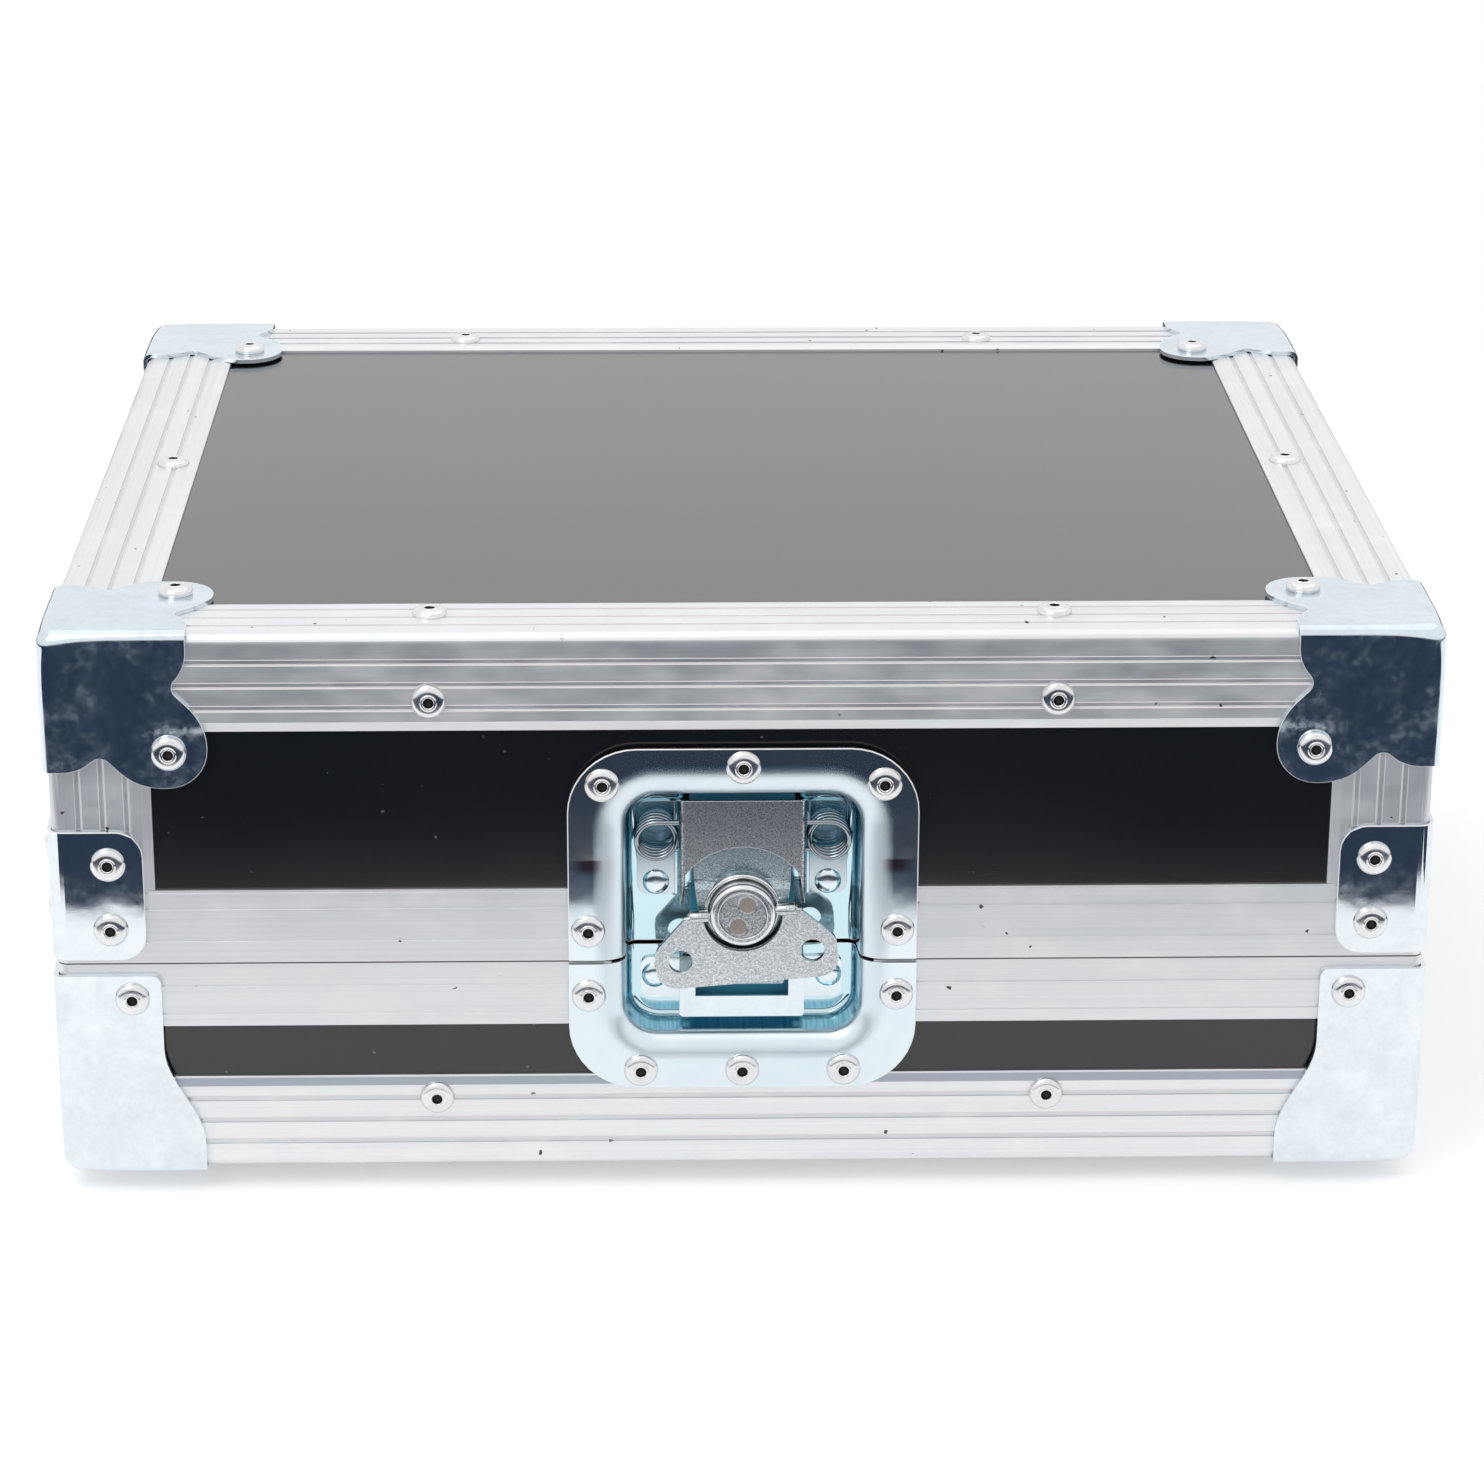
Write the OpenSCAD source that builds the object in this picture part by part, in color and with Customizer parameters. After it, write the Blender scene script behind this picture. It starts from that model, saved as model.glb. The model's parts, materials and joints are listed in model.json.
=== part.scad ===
// Mixer flight case: laminated panels in aluminium edge extrusions, ball corners, a hinged lid
// and a recessed butterfly latch. Lengths are millimetres. Pieces are drawn with x = 0 on the
// middle of the case, y = 0 on its front face and z = 0 under its bottom extrusion.

/* [Case] */
// Width over the edge extrusions
case_w = 408; // [340:1:600]
// Depth over the edge extrusions
case_d = 342; // [240:1:520]
// Height of the base, from its bottom extrusion to the seam
base_h = 67.3; // [66:0.1:95]
// Height of the lid, from the seam to its top
lid_h = 103.3; // [101:0.1:160]

/* [Panels and extrusions] */
// Thickness of the laminated panels
panel_t = 7; // [5.5:0.1:9]
// Play at the edges of a panel in its slot
panel_gap = 0.3; // [0.1:0.05:0.8]
// Length of the outer leg of the edge extrusion
leg_l = 30; // [26:0.5:34]
// Wall of the extrusions
leg_t = 1.5; // [1.2:0.1:2]
// Length of the inner leg past the corner box of the extrusion
inner_l = 8; // [5:0.5:10]
// Outer corner radius of the extrusions
leg_r = 3; // [2:0.1:4]
// Width of the lengthwise grooves
groove_w = 1.6; // [1:0.1:2.4]
// Depth of the lengthwise grooves
groove_d = 0.4; // [0.2:0.05:0.7]
// Width of the bevel at the free edge of a leg
bevel_w = 3; // [2:0.1:4]
// Drop of the bevel at the free edge of a leg
bevel_d = 0.7; // [0.3:0.05:0.9]

/* [Seam rims] */
// Height of the lid rim
lid_rim_h = 23.3; // [18:0.1:28]
// Height of the base rim
base_rim_h = 20.6; // [16:0.1:24]
// How much lower the inner wall of a rim is than its outer wall
rim_step = 3; // [0:0.1:6]
// Depth of the groove in the lid rim
rim_groove_h = 5; // [4:0.1:7]
// Height of the tongue on the base rim
tongue_h = 3.2; // [2:0.1:3.6]
// Thickness of the tongue on the base rim
tongue_t = 2; // [1.5:0.1:3]

/* [Corner plates] */
// Thickness of the corner and brace plates
plate_t = 1.5; // [1:0.1:1.8]
// Radius of the plates over an edge of the case
plate_r = 5; // [4:0.1:6]
// Reach of a corner plate along an edge
corner_reach = 43.5; // [38:0.5:50]
// Width of the upper part of a base corner
base_corner_w = 32.2; // [28:0.1:36]
// Height of the S curve of a base corner above the underside
base_corner_bend = 41.5; // [36:0.5:46]
// Distance of the base corners below the seam
base_corner_gap = 2.4; // [1:0.1:4]
// Distance of the lid braces above the seam
brace_gap = 1.6; // [1:0.1:4]
// Height of a lid brace
brace_h = 41; // [36:0.5:48]
// Width of a lid brace on each side
brace_w = 28.5; // [26:0.5:34]
// Radius of the free corners of a lid brace
brace_r = 8; // [4:0.5:11]

/* [Rivets] */
// Radius of a rivet head
rivet_r = 5.2; // [4:0.1:5.6]
// Height of a rivet head
rivet_h = 2.2; // [1.4:0.1:2.4]
// Radius of the small rivets of hinges, bracket and keeper
small_rivet_r = 3.2; // [2.4:0.1:3.6]
// Height of the small rivets
small_rivet_h = 1.2; // [0.8:0.1:1.5]
// Distance of the rivets below the top on front and back of the lid
leg_rivet_in = 20.6; // [16:0.1:23]
// Height of the rivets on front and back of the base
base_leg_rivet_z = 23; // [16:0.1:23.5]
// Distance of the rivets on top and underside from the front and back
flat_rivet_in = 18.5; // [16:0.1:22]
// Distance of the rivets on and over the sides from the outer edge
side_rivet_in = 22; // [16:0.1:23]
// Distance of the leg rivets on front and back from the middle of the case
leg_rivet_x = 92; // [70:1:110]

/* [Latch dish] */
// Width of the dish flange
dish_w = 104; // [98:0.5:112]
// Height of the flange above the seam
dish_up = 68; // [66:0.5:70]
// Height of the flange below the seam
dish_down = 41.2; // [40:0.1:46]
// Corner radius of the flange
dish_r = 20.5; // [12:0.5:26]
// Sheet thickness of the dish
dish_t = 1.2; // [0.8:0.1:1.5]
// Width of the recess at its mouth
mouth_w = 77; // [75:0.5:82]
// Height of the mouth above the seam
mouth_up = 56.9; // [56:0.1:60]
// Height of the mouth below the seam
mouth_down = 28.8; // [28:0.1:31]
// Corner radius of the mouth
mouth_r = 14; // [10:0.5:18]
// Depth of the recess behind the front face
dish_depth = 14; // [13.5:0.1:16]
// Radius from the flange into the recess
lip_r = 4.5; // [3:0.1:5]
// Radius from the walls into the floor
sink_r = 2.2; // [1:0.1:2.2]

/* [Latch] */
// Height of the spindle axis above the seam
spindle_up = 14.5; // [14:0.1:15.5]
// Height of the pivot pin above the seam
pivot_up = 38.7; // [38:0.1:40]
// Depth of the pivot pin
pivot_y = 8.2; // [8:0.1:8.4]
// Radius of the pivot pin
pivot_r = 1.5; // [1:0.1:1.7]
// Travel of the hook when the spindle turns half a turn
hook_travel = 5; // [3.5:0.1:5.2]
// Running clearance between a pin and its bore
pin_gap = 0.05; // [0.02:0.01:0.09]
// Sheet thickness of the hook plate
hook_t = 1.4; // [1:0.1:1.5]
// Width of the hook plate at its top
hook_w = 29; // [26:0.5:31]
// Width of the hook tab
hook_tab_w = 25; // [18:0.5:26]
// Front of the upper part of the hook plate
hook_back_y = 7; // [6.8:0.1:7.3]
// Front of the lower part of the hook plate
hook_front_y = 4.6; // [4.4:0.1:4.8]
// Height of the hook tab
hook_tab_h = 3; // [2:0.1:3.2]
// Depth that the hook tab stands behind its plate
hook_tab_d = 1.4; // [1:0.1:1.5]
// Radius of the bearing boss round the spindle
boss_r = 11.3; // [10.5:0.1:12]
// Radius of the spindle head
spindle_r = 9.9; // [9.3:0.1:10.2]
// Radius of the spindle neck
neck_r = 6; // [4:0.1:7]
// Radius of the cap in the spindle head
cap_r = 7.1; // [6:0.1:7.8]
// Width of the wing
wing_w = 54.6; // [50:0.2:55.6]
// Height of the wing below its pin
wing_h = 22.3; // [20:0.1:22.8]
// Thickness of the wing
wing_t = 2; // [1.4:0.1:2.2]
// Tilt of the wing from level, in degrees
wing_tilt = 5; // [0:0.5:8]
// Radius of the padlock holes
padlock_r = 3.6; // [2.5:0.1:4]
// Radius of the wing pin
wing_pin_r = 1; // [0.7:0.05:1.1]

/* [Springs] */
// Radius of the spring wire
wire_r = 0.7; // [0.5:0.05:0.75]
// Mean radius of the coils
coil_r = 6; // [5:0.1:6.1]
// Half turns of the coils, an odd number
coil_half_turns = 7; // [5:2:7]

/* [Hinges] */
// Distance of the middle of a hinge from the side of the case
hinge_in = 94; // [80:1:120]
// Width of a hinge
hinge_w = 60; // [44:1:80]
// Radius of a knuckle
knuckle_r = 3.5; // [3.2:0.1:3.7]
// Radius of the hinge pin
hinge_pin_r = 2; // [1.5:0.1:2.2]
// Distance of the hinge axis behind the back face
hinge_off = 4.2; // [4:0.1:4.8]
// Height of a hinge leaf from the seam
leaf_h = 18; // [16:0.5:20]

/* [Feet and lining] */
// Radius of a foot at its top
foot_r = 14; // [11:0.5:16]
// Radius of a foot at its bottom
foot_end_r = 12; // [9:0.5:16]
// Height of a foot below the bottom extrusion
foot_h = 8; // [6:0.5:14]
// Distance of a foot from the outer faces
foot_in = 62; // [60:1:80]
// Radius of the foot screws
screw_r = 2.5; // [2:0.1:3]
// Thickness of the foam on the walls
foam_t = 12; // [8:0.5:20]
// Thickness of the foam on the base floor
floor_foam_t = 12; // [6:0.5:20]
// Thickness of the foam under the top
lid_foam_t = 20; // [8:0.5:30]

/* [Hidden] */
$fn = 48;

// Overrun of the cuts, and segments of a rounded corner
over = 1;
arc_steps = 6;

// Derived heights and the shift to the frame of the whole part
case_h = base_h + lid_h;
seam = base_h;
front_most = plate_t + rivet_h;
back_most = hinge_off + knuckle_r;
mid_y = (case_d + back_most - front_most) / 2;

// Depth of the inner leg and of the closed box of the extrusion
slot_in = leg_t + panel_t;
slot_out = slot_in + leg_t;
groove_shares = [0.287, 0.523, 0.76];
rim_groove_shares = [0.33, 0.77];
rim_step_line = 0.9;

// Clear cut round the dish recess in rims and panels
dish_clear = 0.7;
dish_cut_w = mouth_w + 2 * dish_clear;
dish_cut_up = mouth_up + dish_clear;
dish_cut_down = mouth_down + dish_clear;

// Corner radius of the recess inside its walls, and the flat of its floor from the middle and seam
recess_r = mouth_r - lip_r;
floor_half = mouth_w / 2 - lip_r - sink_r;
floor_up = mouth_up - lip_r - sink_r;
floor_down = mouth_down - lip_r - sink_r;

// Inner radius of the plates, a little tighter than the extrusions that they wrap
plate_tight = 0.5;
plate_in_r = leg_r - plate_tight;
// Outlines of the corner plates as shares of their reach: x, y and corner radius
corner_shares = [
    [0, 0, 0], [1, 0, 0], [1, 0.25, 0.16], [0.87, 0.4, 0.07], [1.12, 0.65, 0.2],
    [1.12, 1.12, 0.275], [0.65, 1.12, 0.2], [0.4, 0.87, 0.07], [0.25, 1, 0.16], [0, 1, 0]
];
lobe_share = 0.86;
base_corner_h = base_h - base_corner_gap + plate_t;
bend_share = 0.25;
base_corner_top_r = 2.5;
base_rivet_a = 23.5;
base_rivet_drop = 8.4;
block_s = 1.5 * corner_reach;
brace_rivet_in = 18.1;
brace_rivet_shares = [0.245, 0.752];

// Rivet head: centre recess, ring round it and the straight edge of the head
rivet_hole_share = 0.29;
rivet_ring_share = 0.5;
rivet_edge_share = 0.25;
rivet_sink_share = 0.55;

// Rivets of the dish flange, as shares of half its width and of its height from the seam
dish_lid_rivet_shares = [[0.8, 0.834], [0, 0.913], [0.885, 0.149]];
dish_base_rivet_shares = [[0.885, 0.26], [0.587, 0.857], [0, 0.859]];

// Latch bracket, a hat section on the floor of the lid dish
bracket_t = 1.2;
bridge_y = 3.2;
bridge_w = 37.4;
bridge_up = 49.7;
bridge_arc_r = 20.5;
bridge_low = spindle_up + sqrt(bridge_arc_r * bridge_arc_r - bridge_w * bridge_w / 4);
flange_gap = 0.3;
flange_drop = 4;
flange_half = floor_half - flange_gap;
flange_up = floor_up - flange_drop;
flange_low = 16.3;
flange_r = 3;
bracket_rivet_x = 25.8;
bracket_rivet_up = 20.7;

// Keeper, a pressed box on the floor of the base dish
keeper_t = 1.2;
keeper_y = 7.7;
keeper_w = 37.6;
keeper_top = 2.2;
keeper_gap = 0.2;
keeper_flange_gap = 1.3;
keeper_bottom = floor_down - keeper_gap;
keeper_flange_half = floor_half - keeper_flange_gap;
keeper_flange_top = 4.4;
keeper_flange_low = 17.6;
slot_w = 28;
slot_top = 5;
slot_bottom = 15.1;
keeper_rivet_x = 26.2;
keeper_rivet_down = 10.2;

// Hook plate and its ears: gaps to pin and slot, height of its bend over the spindle axis
hook_pin_gap = 1;
tab_gap = 0.3;
joggle_up = 6.5;
hook_top = pivot_up - pivot_r - hook_pin_gap;
hook_low = hook_travel + tab_gap - slot_bottom;
hook_joggle = spindle_up + joggle_up;
ear_in = 1;
ear_wall = 1;
ear_r = pivot_r + ear_wall;

// Spindle, from its front face inwards
spindle_y = -1;
boss_y = 4.2;
boss_l = 6;
spindle_gap = 0.2;
cap_t = 1;
cap_in = 0.2;
cap_gap = 0.05;
collar_r = 8.5;
collar_t = 1.5;
dimple_r = 0.9;
dimple_d = 0.4;
dimple_share = 0.58;
dimple_turn = 10;

// Wing: pin depth, arc round the spindle, barrels round the pin and outline shares
wing_y = 1.6;
wing_arc_gap = 2.1;
barrel_gap = 0.4;
barrel_wall = 0.9;
barrel_r = wing_pin_r + barrel_wall;
pivot_half_share = 0.57;
wing_shares = [
    [0.57, 0.067, 0], [1, -0.45, 0.2], [1, -1, 0.22], [-1, -1, 0.22], [-1, -0.45, 0.2],
    [-0.57, 0.067, 0]
];
padlock_shares = [0.725, -0.61];

// Springs: seat gap, axis and depth of the coils
seat_gap = 0.3;
coil_x = bridge_w / 2 + seat_gap + wire_r + coil_r;
coil_up = 37.2;
coil_y = 4.8;
coil_l = 6.6;
coil_rings = 8;
wire_sides = 6;

// Hinge: place, leaf sheet, knuckle shares and play between knuckles
hinge_x = case_w / 2 - hinge_in;
leaf_t = 1.5;
leaf_gap = 0.4;
knuckle_share = 1 / 3;
knuckle_play = 0.3;
knuckle_clear = 0.5;
hinge_rivet_share = 0.36;
hinge_rivet_up = 11;

// Feet: counterbore for the screw head
screw_head_r = 4.5;
screw_head_h = 2.6;
screw_play = 0.1;
screw_end_gap = 1;
sink_h = 5;
sink_play = 0.8;

// Foam lining: gap to hard pieces, and relief behind the dish
foam_gap = 0.3;
foam_back = slot_out + foam_gap;
relief_w = 84;
relief_gap = 1;
wall_foam_low = 5;
lid_foam_low = 8;

function unit(v) = v / norm(v);

// Points of an outline whose entries are x, y and the radius of that corner
function rounded(p) = [
    for (i = [0 : len(p) - 1])
        each corner_arc(p[(i + len(p) - 1) % len(p)], p[i], p[(i + 1) % len(p)])
];
function flat2(p) = [p[0], p[1]];
function corner_arc(a, b, c) = b[2] == 0 ? [flat2(b)] :
    let (
        u = unit(flat2(a) - flat2(b)),
        v = unit(flat2(c) - flat2(b)),
        half = acos(u * v) / 2,
        mid = flat2(b) + unit(u + v) * b[2] / sin(half),
        s = flat2(b) + u * b[2] / tan(half) - mid,
        e = flat2(b) + v * b[2] / tan(half) - mid,
        start = atan2(s[1], s[0]),
        turn = atan2(s[0] * e[1] - s[1] * e[0], s * e)
    )
    [for (k = [0 : arc_steps]) mid + b[2] * [cos(start + turn * k / arc_steps),
                                            sin(start + turn * k / arc_steps)]];

// Corner points of a block from low to high, each with the same radius
function block(lo, hi, r) = rounded([[lo[0], lo[1], r], [hi[0], lo[1], r], [hi[0], hi[1], r],
                                    [lo[0], hi[1], r]]);

module placed() translate([0, -mid_y, foot_h]) children();
module along_x(l) rotate([90, 0, 90]) linear_extrude(l) children();
module along_y(l) translate([0, l, 0]) rotate([90, 0, 0]) linear_extrude(l) children();
// Extrudes an outline in x and z from depth y inwards
module facing(y, t) translate([0, y + t, 0]) rotate([90, 0, 0]) linear_extrude(t) children();
module from_top() translate([0, 0, case_h]) mirror([0, 0, 1]) children();
module from_back() translate([0, case_d, 0]) mirror([0, 1, 0]) children();
module both_sides() {
    children();
    mirror([1, 0, 0]) children();
}
module front_and_back() {
    children();
    from_back() children();
}

// A solid through rings of points, closed at its two ends
module loft(rings) {
    n = len(rings[0]);
    m = len(rings);
    polyhedron(
        points = [for (ring = rings) each ring],
        faces = concat(
            [[for (k = [0 : n - 1]) k]],
            [for (j = [0 : m - 2]) for (k = [0 : n - 1])
                [j * n + k, (j + 1) * n + k, (j + 1) * n + (k + 1) % n]],
            [for (j = [0 : m - 2]) for (k = [0 : n - 1])
                [j * n + k, (j + 1) * n + (k + 1) % n, j * n + (k + 1) % n]],
            [[for (k = [n - 1 : -1 : 0]) (m - 1) * n + k]]
        )
    );
}

// Extrusions

// Edge extrusion with its outer corner at the origin and its legs along both axes
module edge_profile() {
    difference() {
        union() {
            square([leg_t, leg_l]);
            square([leg_l, leg_t]);
            square(slot_out);
            translate([slot_in, slot_in]) square([leg_t + inner_l, leg_t]);
            translate([slot_in, slot_in]) square([leg_t, leg_t + inner_l]);
        }
        translate([leg_t, leg_t]) square(panel_t);
        difference() {
            translate([-over, -over]) square(leg_r + over);
            translate([leg_r, leg_r]) circle(leg_r);
        }
        leg_lines();
        mirror([1, -1]) leg_lines();
    }
}

module leg_lines() {
    for (share = groove_shares)
        translate([share * leg_l - groove_w / 2, -over]) square([groove_w, groove_d + over]);
    polygon([[leg_l - bevel_w, 0], [leg_l - bevel_w, -over], [leg_l + over, -over],
             [leg_l + over, bevel_d], [leg_l, bevel_d]]);
}

// Lid rim from the seam up, with the groove for the tongue
module lid_rim_profile() {
    difference() {
        union() {
            square([leg_t, lid_rim_h]);
            translate([slot_in, 0]) square([leg_t, lid_rim_h - rim_step]);
            translate([0, rim_groove_h]) square([slot_out, leg_t]);
        }
        rim_lines(lid_rim_h);
    }
}

// Base rim from the seam down, with the tongue above the seam
module base_rim_profile() {
    difference() {
        union() {
            square([leg_t, base_rim_h]);
            translate([slot_in, 0]) square([leg_t, base_rim_h - rim_step]);
            square([slot_out, leg_t]);
            translate([(slot_out - tongue_t) / 2, -tongue_h]) square([tongue_t, tongue_h + leg_t]);
        }
        rim_lines(base_rim_h);
    }
}

module rim_lines(h) {
    for (share = rim_groove_shares)
        translate([-over, share * h - groove_w / 2]) square([groove_d + over, groove_w]);
    translate([-over, h - rim_step_line]) square([groove_d + over, rim_step_line + over]);
}

// Rectangle with true round corners
module soft_rect(w, h, r) {
    translate([r, 0]) square([w - 2 * r, h]);
    translate([0, r]) square([w, h - 2 * r]);
    for (x = [r, w - r]) for (y = [r, h - r]) translate([x, y]) circle(r);
}
// Envelopes that round the upright edges of the case, and its edges along the depth
module case_plan() linear_extrude(case_h)
    translate([-case_w / 2, 0]) soft_rect(case_w, case_d, leg_r);
module case_front() along_y(case_d) translate([-case_w / 2, 0]) soft_rect(case_w, case_h, leg_r);

module edge_front() intersection() {
    translate([-case_w / 2, 0, 0]) along_x(case_w) edge_profile();
    case_plan();
    case_front();
}
module edge_side()
    translate([-case_w / 2, leg_l, 0]) along_y(case_d - 2 * leg_l) edge_profile();
module posts(z0, z1)
    front_and_back() both_sides()
        translate([-case_w / 2, 0, z0]) linear_extrude(z1 - z0) edge_profile();

// Rims are mitred at the corners; up is 1 for the lid and -1 for the base
module at_seam(up) translate([-case_w / 2, 0, seam]) mirror([0, 0, up < 0 ? 1 : 0]) children();
module rim_front(up) {
    intersection() {
        at_seam(up) along_x(case_w) rim_profile(up);
        case_plan();
        linear_extrude(case_h) polygon([[-case_w / 2, 0], [case_w / 2, 0],
                                        [case_w / 2 - slot_out, slot_out],
                                        [-case_w / 2 + slot_out, slot_out]]);
    }
}
module rim_side(up) {
    intersection() {
        at_seam(up) along_y(case_d) rim_profile(up);
        case_plan();
        linear_extrude(case_h) polygon([[-case_w / 2, 0], [-case_w / 2 + slot_out, slot_out],
                                        [-case_w / 2 + slot_out, case_d - slot_out],
                                        [-case_w / 2, case_d]]);
    }
}
// The front rim stops at both sides of the dish
module rim_front_halves(up) {
    difference() {
        rim_front(up);
        translate([-dish_cut_w / 2, -over, 0]) cube([dish_cut_w, slot_out + 2 * over, case_h]);
    }
}
module rim_profile(up) {
    if (up > 0) lid_rim_profile();
    else base_rim_profile();
}

metal = "#cfd2d3";
module base_edge_front() color(metal) placed() edge_front();
module base_edge_back() color(metal) placed() from_back() edge_front();
module base_edge_sides() color(metal) placed() both_sides() edge_side();
module base_posts() color(metal) placed() posts(leg_l, base_h - base_rim_h);
module base_rim_front() color(metal) placed() rim_front_halves(-1);
module base_rim_back() color(metal) placed() from_back() rim_front(-1);
module base_rim_sides() color(metal) placed() both_sides() rim_side(-1);
module lid_edge_front() color(metal) placed() from_top() edge_front();
module lid_edge_back() color(metal) placed() from_top() from_back() edge_front();
module lid_edge_sides() color(metal) placed() from_top() both_sides() edge_side();
module lid_posts() color(metal) placed() posts(base_h + lid_rim_h, case_h - leg_l);
module lid_rim_front() color(metal) placed() rim_front_halves(1);
module lid_rim_back() color(metal) placed() from_back() rim_front(1);
module lid_rim_sides() color(metal) placed() both_sides() rim_side(1);

// Panels

panel_in = slot_out + panel_gap;
base_panel_low = panel_in;
base_panel_high = base_h - leg_t - panel_gap;
lid_panel_low = base_h + rim_groove_h + leg_t + panel_gap;
lid_panel_high = case_h - panel_in;

module flat_panel()
    translate([-case_w / 2 + panel_in, panel_in, leg_t])
        cube([case_w - 2 * panel_in, case_d - 2 * panel_in, panel_t]);
module front_panel(z0, z1)
    translate([-case_w / 2 + panel_in, leg_t, z0])
        cube([case_w - 2 * panel_in, panel_t, z1 - z0]);
module side_panel(z0, z1)
    translate([-case_w / 2 + leg_t, panel_in, z0])
        cube([panel_t, case_d - 2 * panel_in, z1 - z0]);
module dish_cutout()
    facing(-over, slot_out + 2 * over)
        polygon(block([-dish_cut_w / 2, seam - dish_cut_down], [dish_cut_w / 2, seam + dish_cut_up],
                      recess_r));

laminate = "#26282b";
module base_floor_panel() color(laminate) placed() difference() {
    flat_panel();
    at_feet() translate([0, 0, -over]) cylinder(h = slot_out + 2 * over, r = screw_r + screw_play);
}
module base_front_panel() color(laminate) placed() difference() {
    front_panel(base_panel_low, base_panel_high);
    dish_cutout();
}
module base_back_panel() color(laminate) placed()
    from_back() front_panel(base_panel_low, base_panel_high);
module base_side_panels() color(laminate) placed()
    both_sides() side_panel(base_panel_low, base_panel_high);
module lid_top_panel() color(laminate) placed() from_top() flat_panel();
module lid_front_panel() color(laminate) placed() difference() {
    front_panel(lid_panel_low, lid_panel_high);
    dish_cutout();
}
module lid_back_panel() color(laminate) placed()
    from_back() front_panel(lid_panel_low, lid_panel_high);
module lid_side_panels() color(laminate) placed()
    both_sides() side_panel(lid_panel_low, lid_panel_high);

// Corner plates, drawn with the corner of their outer faces at the origin

// Solid block whose three edges at the origin are rounded
module rounded_block(in, r) {
    outline = rounded([[in, in, r], [block_s, in, 0], [block_s, block_s, 0], [in, block_s, 0]]);
    intersection() {
        linear_extrude(block_s) polygon(outline);
        along_x(block_s) polygon(outline);
        along_y(block_s) polygon(outline);
    }
}

module corner_shell() {
    difference() {
        rounded_block(0, plate_r);
        rounded_block(plate_t, plate_in_r);
    }
}

lobed = rounded(corner_shares * corner_reach);
// Front outline of a base corner, whose lower part widens in an S curve
base_corner_outline = concat(
    [[0, 0], [corner_reach, 0]],
    [for (k = [0 : 2 * arc_steps])
        let (share = k / (2 * arc_steps))
        [corner_reach + (base_corner_w - corner_reach) * (1 - cos(180 * share)) / 2,
         base_corner_bend * (bend_share + (1 - bend_share) * share)]],
    corner_arc([base_corner_w, 0, 0], [base_corner_w, base_corner_h, base_corner_top_r],
               [0, base_corner_h, 0]),
    [[0, base_corner_h]]
);

module lid_corner_plate() {
    intersection() {
        corner_shell();
        union() {
            linear_extrude(plate_r) polygon(lobed);
            along_x(plate_r) polygon(lobed);
            along_y(plate_r) polygon(lobed);
        }
    }
}

module base_corner_plate() {
    intersection() {
        corner_shell();
        union() {
            linear_extrude(plate_r) polygon(lobed);
            along_x(plate_r) polygon(base_corner_outline);
            along_y(plate_r) polygon(base_corner_outline);
        }
    }
}

// Puts a corner piece on the front left corner of the outer plate faces
module at_vertex() translate([-case_w / 2 - plate_t, -plate_t, -plate_t]) children();

// One L-shaped brace over a vertical edge
module brace() {
    z0 = seam + brace_gap + plate_t;
    shell = rounded([[0, 0, plate_r], [brace_w, 0, 0], [brace_w, plate_t, 0],
                     [plate_t, plate_t, plate_in_r], [plate_t, brace_w, 0], [0, brace_w, 0]]);
    leaf = rounded([[0, z0, 0], [brace_w, z0, brace_r], [brace_w, z0 + brace_h, brace_r],
                    [0, z0 + brace_h, 0]]);
    intersection() {
        translate([0, 0, z0]) linear_extrude(brace_h) polygon(shell);
        union() {
            along_y(plate_r) polygon(leaf);
            along_x(plate_r) polygon(leaf);
        }
    }
}

zinc = "#b9c6cc";
module base_corner_front_left() color(zinc) placed() at_vertex() base_corner_plate();
module base_corner_front_right() color(zinc) placed()
    mirror([1, 0, 0]) at_vertex() base_corner_plate();
module base_corner_back_left() color(zinc) placed() from_back() at_vertex() base_corner_plate();
module base_corner_back_right() color(zinc) placed()
    from_back() mirror([1, 0, 0]) at_vertex() base_corner_plate();
module lid_corner_front_left() color(zinc) placed() from_top() at_vertex() lid_corner_plate();
module lid_corner_front_right() color(zinc) placed()
    from_top() mirror([1, 0, 0]) at_vertex() lid_corner_plate();
module lid_corner_back_left() color(zinc) placed()
    from_top() from_back() at_vertex() lid_corner_plate();
module lid_corner_back_right() color(zinc) placed()
    from_top() from_back() mirror([1, 0, 0]) at_vertex() lid_corner_plate();
module lid_braces() color(zinc) placed()
    front_and_back() both_sides() at_vertex() brace();

// Rivets

// Domed head that stands on z = 0
module rivet_head(r, h) {
    ring = rivet_ring_share * r;
    edge = rivet_edge_share * h;
    rotate_extrude() polygon(concat(
        [[0, 0], [r, 0], [r, edge]],
        [for (k = [1 : arc_steps])
            [ring + (r - ring) * cos(90 * k / arc_steps),
             edge + (h - edge) * sin(90 * k / arc_steps)]],
        [[rivet_hole_share * r, h], [rivet_hole_share * r, rivet_sink_share * h],
         [0, rivet_sink_share * h]]
    ));
}

// Heads on a face: front at depth y, left side at x, underside at z
module front_rivet(x, y, z) translate([x, y, z]) rotate([90, 0, 0]) rivet_head(rivet_r, rivet_h);
module side_rivet(x, y, z) translate([x, y, z]) rotate([0, -90, 0]) rivet_head(rivet_r, rivet_h);
module under_rivet(x, y, z) translate([x, y, z]) rotate([180, 0, 0]) rivet_head(rivet_r, rivet_h);

// Three heads on the lobes of a corner plate, at the front left corner
module lobe_rivets() {
    lobe = lobe_share * corner_reach - plate_t;
    under_rivet(-case_w / 2 + lobe, lobe, -plate_t);
    front_rivet(-case_w / 2 + lobe, -plate_t, lobe);
    side_rivet(-case_w / 2 - plate_t, lobe, lobe);
}

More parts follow.
